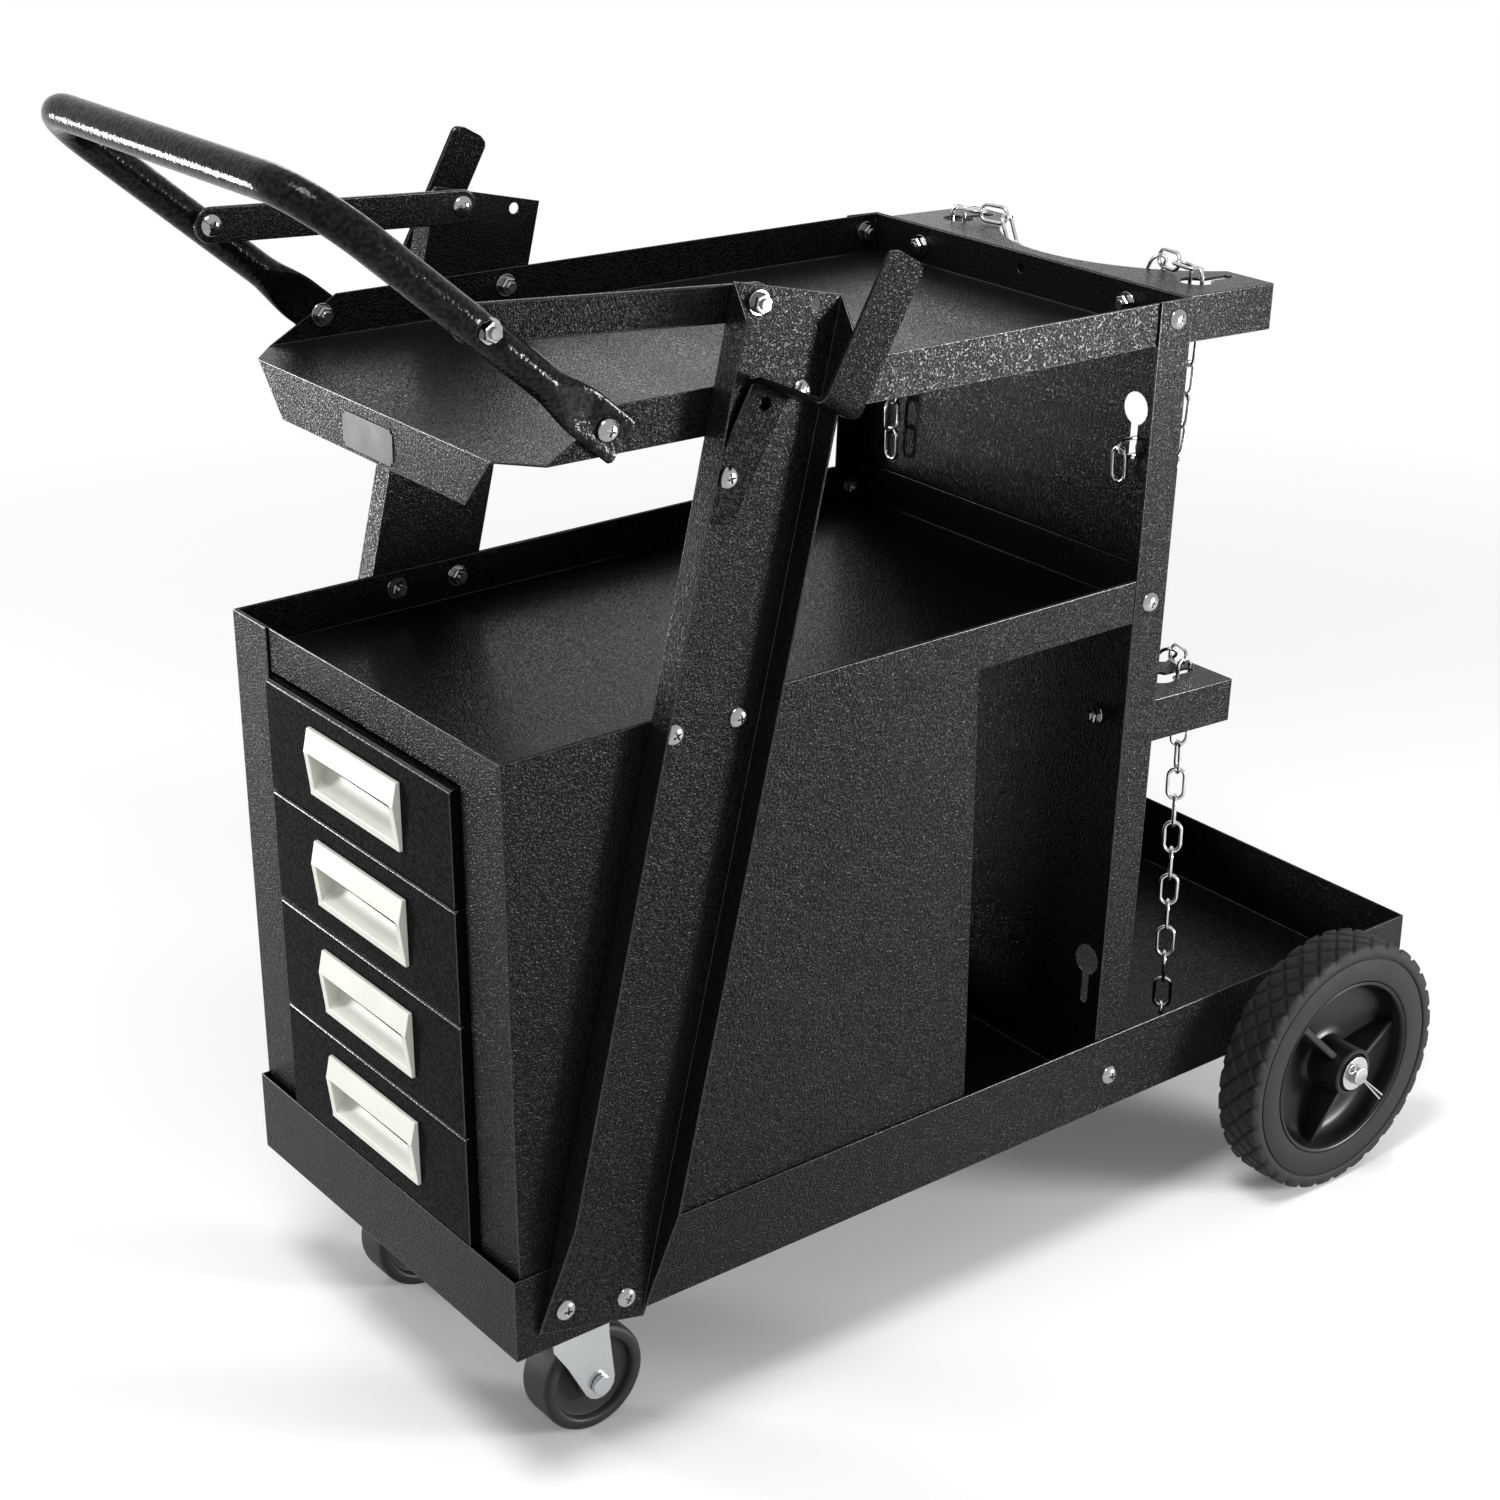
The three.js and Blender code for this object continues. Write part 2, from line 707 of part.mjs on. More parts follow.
// A tyre with flat-topped diamond blocks; the grooves between them run slantwise both ways
function tyre() {
  const columns = 2 * treadBlocks;
  const margin = 2;
  const [low, high] = [wheelRadius - treadDepth, wheelRadius];
  const sideRings = [[0, wheelRadius - 5], [0, tyreBore + 1.5], [1.5, tyreBore]];
  const positions = [];
  const index = [];
  const known = new Map();

  function corner(column, across, radius) {
    const turn = (column + columns) % columns;
    const key = [turn, across, radius].map((value) => value.toFixed(3)).join(' ');
    if (!known.has(key)) {
      const angle = (turn / columns) * 2 * Math.PI - Math.PI / 2;
      known.set(key, positions.length / 3);
      positions.push(radius * Math.cos(angle), -wheelInner - across, radius * Math.sin(angle));
    }
    return known.get(key);
  }

  function rowPlace(row) {
    return margin + (row / treadRows) * (tyreWidth - 2 * margin);
  }

  function face(...corners) {
    for (let i = 1; i < corners.length - 1; i += 1) index.push(corners[0], corners[i], corners[i + 1]);
  }

  function block(column, row) {
    const around = [[column - 1, row], [column, row - 1], [column + 1, row], [column, row + 1]]
      .filter(([, r]) => r >= 0 && r <= treadRows);
    const lows = around.map(([c, r]) => corner(c, rowPlace(r), low));
    const tops = around.map(([c, r]) => corner(
      column + 0.72 * (c - column),
      rowPlace(row + 0.72 * (r - row)),
      high,
    ));
    face(...tops);
    around.forEach((place, i) => {
      const next = (i + 1) % around.length;
      const onEdge = around.length === 3 && place[1] === row && around[next][1] === row;
      if (!onEdge) face(lows[i], lows[next], tops[next], tops[i]);
    });
    if (around.length === 3) shoulder(column, row, lows, tops);
  }

  function shoulder(column, row, lows, tops) {
    const outer = row > 0;
    const rings = sideRings.map(([across, radius]) => {
      const place = outer ? tyreWidth - across : across;
      return [corner(column - 1, place, radius), corner(column + 1, place, radius)];
    });
    const [left, right] = outer ? [0, 2] : [0, 1];
    const [first, second] = rings[0];
    if (outer) {
      face(lows[left], tops[left], first);
      face(tops[left], tops[right], second, first);
      face(tops[right], lows[right], second);
    } else {
      face(first, tops[left], lows[left]);
      face(first, second, tops[right], tops[left]);
      face(second, lows[right], tops[right]);
    }
    for (let i = 0; i < rings.length - 1; i += 1) {
      const [near, far] = outer ? [rings[i], rings[i + 1]] : [rings[i + 1], rings[i]];
      face(near[0], near[1], far[1], far[0]);
    }
    if (outer) {
      const [across, radius] = sideRings[sideRings.length - 1];
      const bore = rings[rings.length - 1];
      face(bore[0], bore[1], corner(column + 1, across, radius), corner(column - 1, across, radius));
    }
  }

  for (let column = 0; column < columns; column += 1) {
    for (let row = 0; row <= treadRows; row += 1) {
      if ((column + row) % 2 === 1) block(column, row);
    }
  }
  const geometry = new THREE.BufferGeometry();
  geometry.setAttribute('position', new THREE.Float32BufferAttribute(positions, 3));
  geometry.setIndex(index);
  return outward(geometry);
}

// A body of revolution round Y; the profile is a closed line of radius and place along the axle
function turned(profile, segments) {
  const points = [...profile, profile[0]].map(([radius, along]) => new THREE.Vector2(radius, along));
  return outward(closed(new THREE.LatheGeometry(points, segments)));
}

// A dished plastic hub with a long boss and three ribs
function hub() {
  const rim = tyreBore - gap;
  const face = tyreWidth - 1;
  const end = tyreWidth + bossReach;
  const dish = turned([
    [boreRadius, -10],
    [13, -10],
    [13, 5],
    [50, 5],
    [57, 1],
    [rim, 1],
    [rim, face],
    [rim - 3, face],
    [rim - 4.5, 17],
    [bossRadius, 11],
    [bossRadius, end],
    [boreRadius, end],
  ].map(([radius, along]) => [radius, -wheelInner - along]), 36);
  const ribs = [];
  for (let number = 0; number < ribCount; number += 1) {
    const rib = plateXY([
      [bossRadius - 1, -wheelInner - 8],
      [rim - 3.2, -wheelInner - 12],
      [rim - 3.2, -wheelInner - 22],
      [bossRadius - 1, -wheelInner - 33],
    ].reverse(), -2.2, 4.4);
    ribs.push(rib.rotateY(-radians(ribAngle + (number * 360) / ribCount)));
  }
  return join(dish, ...ribs);
}

function buildRearWheels() {
  addPair('tyre', ontoAxle(tyre()), rubber);
  addPair('wheel_hub', ontoAxle(hub()), hubPlastic);
}

// A swivel caster: mounting plate with its pin, zinc fork, bolt and wheel
function buildCasters() {
  const plateTop = baseUnderside - gap;
  const plateBottom = plateTop - forkSheet;
  const raceBottom = plateBottom - 5.7;
  const crownTop = raceBottom - 2 * gap;
  const crownBottom = crownTop - forkSheet;
  const headTop = crownBottom - 2 * gap;
  const pinRound = 5;
  const place = (geometry) => geometry.translate(kingpinX, -casterY, 0);

  const plate = join(
    box(-mountPlateX / 2, mountPlateX / 2, -mountPlateY / 2, mountPlateY / 2, plateBottom, plateTop),
    rod('z', 20, raceBottom, plateBottom + 1, 24),
    rod('z', pinRound, headTop - 2, plateBottom, 16),
    rod('z', 1.7 * pinRound, headTop - 3, headTop, 16),
  );
  addPair('caster_plate', place(plate), zinc);

  const legInner = casterWidth / 2 + forkClearance;
  const legOuter = legInner + forkSheet;
  const foot = 11;
  const legPoints = [[-18, crownTop], [-16.5, 68], [-8, 54]];
  for (let step = 0; step <= 6; step += 1) {
    const angle = radians(205 + step * 27);
    legPoints.push([casterTrail + foot * Math.cos(angle), casterRadius + foot * Math.sin(angle)]);
  }
  legPoints.push([22, 68], [22, crownTop]);
  const legs = [-legOuter, legInner].map((y0) => plateXZ(legPoints, y0, forkSheet));
  const crown = box(-18, 22, -legOuter, legOuter, crownBottom, crownTop);
  const pinHole = rod('z', pinRound + turningGap, crownBottom - 1, crownTop + 1, 16);
  const boltHole = rod('y', casterAxleRadius + turningGap, -legOuter - 1, legOuter + 1, 16);
  const fork = cut(join(crown, ...legs), pinHole, boltHole.translate(casterTrail, 0, casterRadius));
  addPair('caster_fork', place(fork), zinc);

  const bolt = join(
    rod('y', casterAxleRadius, -legOuter - 2, legOuter + 2, 16),
    rod('y', 6.4, -legOuter - gap - 3.6, -legOuter - gap, 16),
    rod('y', 6.4, legOuter + gap, legOuter + gap + 3.6, 6),
  );
  addPair('caster_bolt', place(bolt.translate(casterTrail, 0, casterRadius)), zinc);

  const half = casterWidth / 2;
  const bore = casterAxleRadius + turningGap;
  const wheel = turned([
    [bore, 1 - half],
    [12, 1 - half],
    [25, 4 - half],
    [28, -half],
    [casterRadius - 2, -half],
    [casterRadius, 2 - half],
    [casterRadius, half - 2],
    [casterRadius - 2, half],
    [28, half],
    [25, half - 4],
    [12, half - 1],
    [bore, half - 1],
  ], 24);
  addPair('caster_wheel', place(wheel.translate(casterTrail, 0, casterRadius)), casterPlastic);
}

// One chain link between two joints, drawn as a ring of square wire
function link(from, to, flatwise) {
  const along = to.clone().sub(from).normalize();
  const across = flatwise.clone().addScaledVector(along, -flatwise.dot(along)).normalize();
  const normal = new THREE.Vector3().crossVectors(along, across);
  const centre = from.clone().add(to).multiplyScalar(0.5);
  const bend = (linkWidth - wire) / 2;
  const straight = (linkLength - linkWidth) / 2;
  const spread = 1 / Math.cos(Math.PI / 8);
  const rings = [];
  for (let station = 0; station < 8; station += 1) {
    const angle = ((station + 0.5) / 8) * 2 * Math.PI;
    const spot = centre.clone()
      .addScaledVector(along, Math.sign(Math.cos(angle)) * straight + bend * spread * Math.cos(angle))
      .addScaledVector(across, bend * spread * Math.sin(angle));
    const out = along.clone().multiplyScalar(Math.cos(angle)).addScaledVector(across, Math.sin(angle));
    const ring = [];
    for (let side = 0; side < 4; side += 1) {
      const turn = (side / 4) * 2 * Math.PI;
      ring.push(spot.clone()
        .addScaledVector(out, (wire / 2) * spread * Math.cos(turn))
        .addScaledVector(normal, (wire / 2) * Math.sin(turn)));
    }
    rings.push(ring);
  }
  return outward(loft(rings, true));
}

// Joints of a chain that hangs freely between two points
function hang(from, to, links) {
  const flat = new THREE.Vector3(to.x - from.x, to.y - from.y, 0);
  const span = flat.length();
  const rise = to.z - from.z;
  flat.normalize();

  function droop(length) {
    const goal = Math.sqrt(length ** 2 - rise ** 2);
    let [small, large] = [span / 40, span * 40];
    for (let i = 0; i < 80; i += 1) {
      const middle = Math.sqrt(small * large);
      if (2 * middle * Math.sinh(span / (2 * middle)) > goal) small = middle;
      else large = middle;
    }
    const low = span / 2 - small * Math.atanh(rise / length);
    const points = [];
    for (let i = 0; i <= 600; i += 1) {
      const place = (span * i) / 600;
      const height = small * (Math.cosh((place - low) / small) - Math.cosh(low / small));
      points.push(from.clone().addScaledVector(flat, place).setZ(from.z + height));
    }
    return points;
  }

  function step(points) {
    const joints = [from.clone()];
    let at = 1;
    while (joints.length < links && at < points.length) {
      const last = joints[joints.length - 1];
      if (last.distanceTo(points[at]) >= linkPitch) {
        const before = points[at - 1];
        const share = (linkPitch - last.distanceTo(before))
          / (last.distanceTo(points[at]) - last.distanceTo(before));
        joints.push(before.clone().lerp(points[at], share));
      } else {
        at += 1;
      }
    }
    return joints;
  }

  let [short, long] = [Math.max(links * linkPitch, Math.hypot(span, rise) * 1.001), links * linkPitch * 1.4];
  for (let i = 0; i < 50; i += 1) {
    const middle = (short + long) / 2;
    const joints = step(droop(middle));
    const tooShort = joints.length < links || joints[links - 1].distanceTo(to) < linkPitch;
    if (tooShort) short = middle;
    else long = middle;
  }
  return [...step(droop(long)), to.clone()];
}

function tail(from, links) {
  const joints = [];
  for (let number = 1; number <= links; number += 1) {
    joints.push(from.clone().setZ(from.z - number * linkPitch));
  }
  return joints;
}

// Fuses the links along a row of joints; every second link is turned a quarter round
function chain(name, joints, edgewise) {
  const links = [];
  let along = joints[1].clone().sub(joints[0]).normalize();
  const sideways = new THREE.Vector3(0, 1, 0);
  for (let number = 0; number < joints.length - 1; number += 1) {
    const next = joints[number + 1].clone().sub(joints[number]).normalize();
    sideways.applyQuaternion(new THREE.Quaternion().setFromUnitVectors(along, next));
    along = next;
    const quarter = new THREE.Vector3().crossVectors(sideways, along);
    const flatwise = (number - edgewise) % 2 === 0 ? quarter : sideways;
    links.push(link(joints[number], joints[number + 1], flatwise));
  }
  add(name, join(...links), zinc);
}

function acrossCart(point) {
  return new THREE.Vector3(point.x, -point.y, point.z);
}

const chainLift = linkWidth / 2 + 2 * gap;

// Upper chain: from one panel slot up through the bracket, over the notch and down to the other slot
function buildUpperChain() {
  const top = bracketHeights[1];
  const slot = panelKeyholeHeights[1] - panelSlotDrop + linkWidth / 2 + 3 * gap;
  const front = -sheet - chainLift - 3;
  const inFront = panelPoint(front, -panelKeyholeY, slot);
  const behind = panelPoint(front + linkPitch, -panelKeyholeY, slot);
  const raised = panelPoint(bracketKeyholeX, -bracketKeyholeY, top + chainLift);
  const edge = panelPoint(bracketKeyholeX + 7, Math.sqrt((2 * linkPitch) ** 2 - 49) - bracketKeyholeY, top + chainLift);
  const half = [
    inFront,
    ...hang(behind, raised, 9),
    raised.clone().lerp(edge, 0.5),
  ];
  const joints = [
    ...tail(inFront, 1).reverse(),
    ...half,
    ...hang(edge, acrossCart(edge), 11),
    ...half.map(acrossCart).reverse(),
    ...tail(acrossCart(inFront), 3),
  ];
  chain('upper_chain', joints, 1);
}

// Lower chain: its end hangs from one bracket slot, the rest crosses the notch to the other slot
function buildLowerChain() {
  const tailLinks = 13;
  const top = bracketHeights[0];
  const slotX = bracketKeyholeX + bracketSlotReach - linkWidth / 2 - 4 * gap;
  const above = panelPoint(slotX, -bracketKeyholeY, top + chainLift);
  const edge = panelPoint(slotX + 7, Math.sqrt(linkPitch ** 2 - 49) - bracketKeyholeY, top + chainLift);
  const below = above.clone().setZ(above.z - linkPitch);
  const joints = [
    ...tail(below, tailLinks).reverse(),
    below,
    above,
    ...hang(edge, acrossCart(edge), 11),
    acrossCart(above),
    acrossCart(below),
    ...tail(acrossCart(below), 1),
  ];
  chain('lower_chain', joints, tailLinks);
}

buildBase();
buildCabinet();
buildRunners();
buildDrawers();
buildPanel();
buildBrackets();
buildPosts();
buildTopTray();
buildHandle();
buildBraces();
buildHooks();
buildAxle();
buildRearWheels();
buildCasters();
buildUpperChain();
buildLowerChain();

// The origin sits on the floor under the middle of the cart
const bounds = new THREE.Box3().setFromObject(cart);
cart.position.x = -(bounds.min.x + bounds.max.x) / 2;

export default cart;
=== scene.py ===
import json
import math
import bmesh
import bpy
from mathutils import Matrix, Quaternion, Vector


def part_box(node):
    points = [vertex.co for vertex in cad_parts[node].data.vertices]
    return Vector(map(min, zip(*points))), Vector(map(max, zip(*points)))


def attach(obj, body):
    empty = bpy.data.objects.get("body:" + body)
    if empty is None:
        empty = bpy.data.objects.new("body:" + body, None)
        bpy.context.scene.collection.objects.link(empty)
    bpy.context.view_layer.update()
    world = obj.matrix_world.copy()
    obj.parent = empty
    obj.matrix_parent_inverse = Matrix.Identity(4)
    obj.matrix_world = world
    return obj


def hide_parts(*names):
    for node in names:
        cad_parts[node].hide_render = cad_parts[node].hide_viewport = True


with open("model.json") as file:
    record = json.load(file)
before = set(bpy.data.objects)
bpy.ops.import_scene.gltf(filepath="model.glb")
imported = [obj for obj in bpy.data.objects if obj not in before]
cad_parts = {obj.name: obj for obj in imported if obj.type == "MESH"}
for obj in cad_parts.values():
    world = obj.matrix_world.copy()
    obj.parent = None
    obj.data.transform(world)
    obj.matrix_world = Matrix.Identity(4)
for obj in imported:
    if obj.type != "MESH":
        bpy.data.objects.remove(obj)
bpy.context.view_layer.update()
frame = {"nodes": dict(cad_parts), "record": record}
nodes = frame["nodes"]
print("frame loaded with", len(nodes), "pieces")

# places below are in millimetres, X from the front face of the base tray, as on a workshop drawing
frameShift = Vector((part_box("base_tray")[0].x * 1000, 0, 0))


def place(x, y, z):
    return (Vector((x, y, z)) + frameShift) / 1000


# camera: the photograph's own viewpoint, found from straight edges of the cart
cameraSet = {"spot": (-672.1, -1233.4, 1021.3), "tilt": 23.406, "turn": -37.4515, "lens": 66.49}


def addCamera(s):
    data = bpy.data.cameras.new("photoCamera")
    data.lens = s["lens"]
    data.sensor_width = 36
    data.clip_end = 50
    cam = bpy.data.objects.new("photoCamera", data)
    bpy.context.scene.collection.objects.link(cam)
    cam.location = place(*s["spot"])
    cam.rotation_euler = (math.radians(90 - s["tilt"]), 0, math.radians(s["turn"]))
    bpy.context.scene.camera = cam


# materials, all on object coordinates
def newMaterial(name):
    mat = bpy.data.materials.new(name)
    mat.use_nodes = True
    tree = mat.node_tree
    shader = tree.nodes["Principled BSDF"]
    coords = tree.nodes.new("ShaderNodeTexCoord").outputs["Object"]
    return mat, tree, shader, coords


def addNoise(tree, coords, scale, detail=2.0, roughness=0.5):
    noise = tree.nodes.new("ShaderNodeTexNoise")
    noise.inputs["Scale"].default_value = scale
    noise.inputs["Detail"].default_value = detail
    noise.inputs["Roughness"].default_value = roughness
    tree.links.new(coords, noise.inputs["Vector"])
    return noise.outputs["Fac"]


def addRange(tree, value, low, high, start=0.3, end=0.7):
    ramp = tree.nodes.new("ShaderNodeMapRange")
    ramp.inputs["From Min"].default_value = start
    ramp.inputs["From Max"].default_value = end
    ramp.inputs["To Min"].default_value = low
    ramp.inputs["To Max"].default_value = high
    tree.links.new(value, ramp.inputs["Value"])
    return ramp.outputs["Result"]


def addTint(tree, value, dark, light):
    ramp = tree.nodes.new("ShaderNodeValToRGB")
    ramp.color_ramp.elements[0].position = 0.3
    ramp.color_ramp.elements[1].position = 0.7
    ramp.color_ramp.elements[0].color = (*dark, 1)
    ramp.color_ramp.elements[1].color = (*light, 1)
    tree.links.new(value, ramp.inputs["Fac"])
    return ramp.outputs["Color"]


def addBump(tree, shader, heights):
    normal = None
    for value, strength, distance in heights:
        bump = tree.nodes.new("ShaderNodeBump")
        bump.inputs["Strength"].default_value = strength
        bump.inputs["Distance"].default_value = distance
        tree.links.new(value, bump.inputs["Height"])
        if normal:
            tree.links.new(normal, bump.inputs["Normal"])
        normal = bump.outputs["Normal"]
    tree.links.new(normal, shader.inputs["Normal"])


# pebble peaks are paler and shinier, and the valleys between them carry painted shade: darker colour and lower gloss
# where the peaks would hide them from the light
def pebbledCoat(name, s):
    mat, tree, shader, coords = newMaterial(name)
    dust = addNoise(tree, coords, 7, 3)
    tree.links.new(addRange(tree, dust, *s["roughness"]), shader.inputs["Roughness"])
    pebbleHeightAndShade = addRange(tree, addNoise(tree, coords, 1000 / s["pebble"], 1, 0.4), 0, 1, 0.36, 0.64)
    # painted shade: the tint and the gloss fall away into the valleys of the pebble relief, which also drives the bump
    tree.links.new(addTint(tree, pebbleHeightAndShade, s["dark"], s["light"]), shader.inputs["Base Color"])
    tree.links.new(addRange(tree, pebbleHeightAndShade, *s["gloss"], 0.1, 0.9), shader.inputs["Specular IOR Level"])
    fine = addNoise(tree, coords, 1000 / s["grain"], 2)
    addBump(tree, shader, [(pebbleHeightAndShade, 1.0, s["depth"] / 1000), (fine, 1.0, s["fine"] / 1000)])
    return mat


coatSet = {"pebble": 1.2, "grain": 0.6, "depth": 0.26, "fine": 0.03, "gloss": (0.045, 0.12), "roughness": (0.17, 0.24),
           "dark": (0.0028, 0.0028, 0.0029), "light": (0.0062, 0.0063, 0.0065)}
drawerSet = {"pebble": 1.5, "grain": 0.7, "depth": 0.04, "fine": 0.008, "gloss": (0.01, 0.026),
             "roughness": (0.15, 0.21), "dark": (0.0022, 0.0023, 0.0024), "light": (0.004, 0.0041, 0.0043)}
smoothSet = {"pebble": 2.4, "grain": 1.2, "depth": 0.07, "fine": 0.01, "gloss": (0.07, 0.14), "roughness": (0.13, 0.19),
             "dark": (0.0025, 0.0025, 0.0027), "light": (0.005, 0.005, 0.0052)}

# the coat draws smooth and glossy over folded edges
edgeSet = {"pebble": 1.6, "grain": 0.8, "depth": 0.03, "fine": 0.006, "gloss": (0.35, 0.6), "roughness": (0.16, 0.24),
           "dark": (0.003, 0.003, 0.0031), "light": (0.006, 0.0061, 0.0063)}


def plainFinish(name, s):
    mat, tree, shader, coords = newMaterial(name)
    cloud = addNoise(tree, coords, s["cloud"], 4)
    tree.links.new(addTint(tree, cloud, s["dark"], s["light"]), shader.inputs["Base Color"])
    tree.links.new(addRange(tree, cloud, *s["roughness"]), shader.inputs["Roughness"])
    addBump(tree, shader, [(addNoise(tree, coords, s["grain"], 3), s["depth"], 0.0003)])
    shader.inputs["Metallic"].default_value = s["metal"]
    shader.inputs["Specular IOR Level"].default_value = s["gloss"]
    return mat


ivorySet = {"gloss": 0.45, "cloud": 30, "grain": 1800, "depth": 0.1, "metal": 0.0, "roughness": (0.36, 0.46),
            "dark": (0.62, 0.625, 0.56), "light": (0.68, 0.685, 0.62)}
zincSet = {"gloss": 0.5, "cloud": 22, "grain": 900, "depth": 0.05, "metal": 1.0, "roughness": (0.24, 0.31),
           "dark": (0.47, 0.485, 0.495), "light": (0.52, 0.535, 0.545)}
screwFinishSet = {"gloss": 0.5, "cloud": 60, "grain": 900, "depth": 0.05, "metal": 1.0, "roughness": (0.13, 0.2),
                  "dark": (0.28, 0.285, 0.29), "light": (0.38, 0.385, 0.39)}
chainSet = {"gloss": 0.5, "cloud": 220, "grain": 1200, "depth": 0.1, "metal": 1.0, "roughness": (0.14, 0.26),
            "dark": (0.42, 0.43, 0.44), "light": (0.6, 0.61, 0.62)}
steelSet = {"gloss": 0.5, "cloud": 90, "grain": 1300, "depth": 0.15, "metal": 1.0, "roughness": (0.28, 0.42),
            "dark": (0.3, 0.3, 0.3), "light": (0.46, 0.46, 0.455)}
rubberSet = {"gloss": 0.22, "cloud": 55, "grain": 1500, "depth": 0.25, "metal": 0.0, "roughness": (0.62, 0.8),
             "dark": (0.006, 0.0062, 0.0065), "light": (0.011, 0.0113, 0.0118)}
hubSet = {"gloss": 0.22, "cloud": 35, "grain": 700, "depth": 0.05, "metal": 0.0, "roughness": (0.3, 0.4),
          "dark": (0.004, 0.004, 0.0043), "light": (0.007, 0.007, 0.0075)}
rollerSet = {"gloss": 0.3, "cloud": 45, "grain": 1200, "depth": 0.12, "metal": 0.0, "roughness": (0.45, 0.6),
             "dark": (0.005, 0.0053, 0.0057), "light": (0.0085, 0.009, 0.0096)}

plateFinishSet = {"gloss": 0.12, "cloud": 60, "grain": 900, "depth": 0.1, "metal": 0.1, "roughness": (0.34, 0.46),
                  "dark": (0.04, 0.04, 0.043), "light": (0.065, 0.065, 0.069)}

blackCoat = pebbledCoat("blackCoat", coatSet)
drawerCoat = pebbledCoat("drawerCoat", drawerSet)
edgeCoat = pebbledCoat("edgeCoat", edgeSet)
hookCoat = pebbledCoat("hookCoat", {**coatSet, "gloss": (0.015, 0.06)})
plateFinish = plainFinish("plateFinish", plateFinishSet)
handleCoat = pebbledCoat("handleCoat", smoothSet)
ivoryPlastic = plainFinish("ivoryPlastic", ivorySet)
brightZinc = plainFinish("brightZinc", zincSet)
screwZinc = plainFinish("screwZinc", screwFinishSet)
chainZinc = plainFinish("chainZinc", chainSet)
axleSteel = plainFinish("axleSteel", steelSet)
tyreRubber = plainFinish("tyreRubber", rubberSet)
hubPlastic = plainFinish("hubPlastic", hubSet)
rollerRubber = plainFinish("rollerRubber", rollerSet)
slotFinishes = {"paint": blackCoat, "zinc": brightZinc, "axle": axleSteel, "tyre": tyreRubber, "hub": hubPlastic,
                "pull": ivoryPlastic, "handle_paint": handleCoat, "caster_tread": rollerRubber}
print("materials ready")


# mesh helpers
def linkObject(name, mesh, material=None):
    obj = bpy.data.objects.new(name, mesh)
    bpy.context.scene.collection.objects.link(obj)
    if material:
        mesh.materials.clear()
        mesh.materials.append(material)
    return obj


def smoothMesh(mesh, angle=40):
    mesh.shade_smooth()
    mesh.set_sharp_from_angle(angle=math.radians(angle))


def bakeModifiers(obj):
    view = bpy.context.evaluated_depsgraph_get()
    mesh = bpy.data.meshes.new_from_object(obj.evaluated_get(view))
    obj.modifiers.clear()
    old = obj.data
    obj.data = mesh
    bpy.data.meshes.remove(old)
    return obj


# large faces lead the shading, so flats stay flat beside a rounded edge
def evenFlats(obj):
    weigh = obj.modifiers.new("flats", "WEIGHTED_NORMAL")
    weigh.keep_sharp = True
    weigh.weight = 100
    return bakeModifiers(obj)


def settle(obj, body, slot, *stoodFor):
    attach(obj, body)
    if stoodFor:
        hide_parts(*stoodFor)


def drillHoles(obj, holes):
    bm = bmesh.new()
    for at, way, radius, depth in holes:
        turn = Vector(way).to_track_quat("Z", "Y").to_matrix().to_4x4()
        bmesh.ops.create_cone(bm, cap_ends=True, segments=28, radius1=radius / 1000, radius2=radius / 1000,
                              depth=depth / 1000, matrix=Matrix.Translation(place(*at)) @ turn)
    mesh = bpy.data.meshes.new("drill")
    bm.to_mesh(mesh)
    bm.free()
    tool = linkObject("drill", mesh)
    cut = obj.modifiers.new("drill", "BOOLEAN")
    cut.object = tool
    bakeModifiers(obj)
    bpy.data.objects.remove(tool)


# a copy of a folded sheet with its sharp edges broken
def brokenEdges(node, name, material, width, segments=2, angle=30, holes=(), edge=None):
    mesh = nodes[node].data.copy()
    bm = bmesh.new()
    bm.from_mesh(mesh)
    bmesh.ops.remove_doubles(bm, verts=bm.verts, dist=2e-6)
    bmesh.ops.dissolve_limit(bm, angle_limit=math.radians(0.6), verts=bm.verts, edges=bm.edges)
    bm.to_mesh(mesh)
    bm.free()
    obj = linkObject(name, mesh, material)
    if holes:
        drillHoles(obj, holes)
    bevel = obj.modifiers.new("edges", "BEVEL")
    bevel.width = width / 1000
    bevel.segments = segments
    bevel.limit_method = "ANGLE"
    bevel.angle_limit = math.radians(angle)
    bevel.use_clamp_overlap = False
    bevel.miter_outer = "MITER_ARC"
    if edge:
        obj.data.materials.append(edge)
        bevel.material = 1
    bakeModifiers(obj)
    smoothMesh(obj.data, 38)
    return evenFlats(obj)


sheetSet = {"thin": 0.5, "bracket": 0.7, "strip": 0.9}
sheetNodes = {
    "base_tray": "thin", "mid_shelf": "thin", "cabinet_back": "thin", "rear_panel": "thin", "top_tray": "thin",
    "cabinet_side_right": "thin", "cabinet_side_left": "thin", "front_post_right": "thin", "front_post_left": "thin",
    "upper_tank_bracket": "bracket", "lower_tank_bracket": "bracket",
    "handle_brace_right": "strip", "handle_brace_left": "strip",
}


# open holes: middle, way through, radius and depth
openHoles = {
    "front_post_right": [((206.2, -143.0, 665.6), (0, 1, 0), 3.3, 8)],
    "front_post_left": [((206.2, 143.0, 665.6), (0, 1, 0), 3.3, 8)],
    "top_tray": [((482.4, 0.0, 616.5), (1, 0, 0), 3.0, 8)],
}
plateSet = {"middle": (20.2, 0.0, 593.8), "size": (51.0, 19.5), "rise": 1.1, "rim": 1.6, "round": 2.0,
            "step": (0.35, -0.45), "foot": -0.1, "lean": (-1, 0, 0.02)}


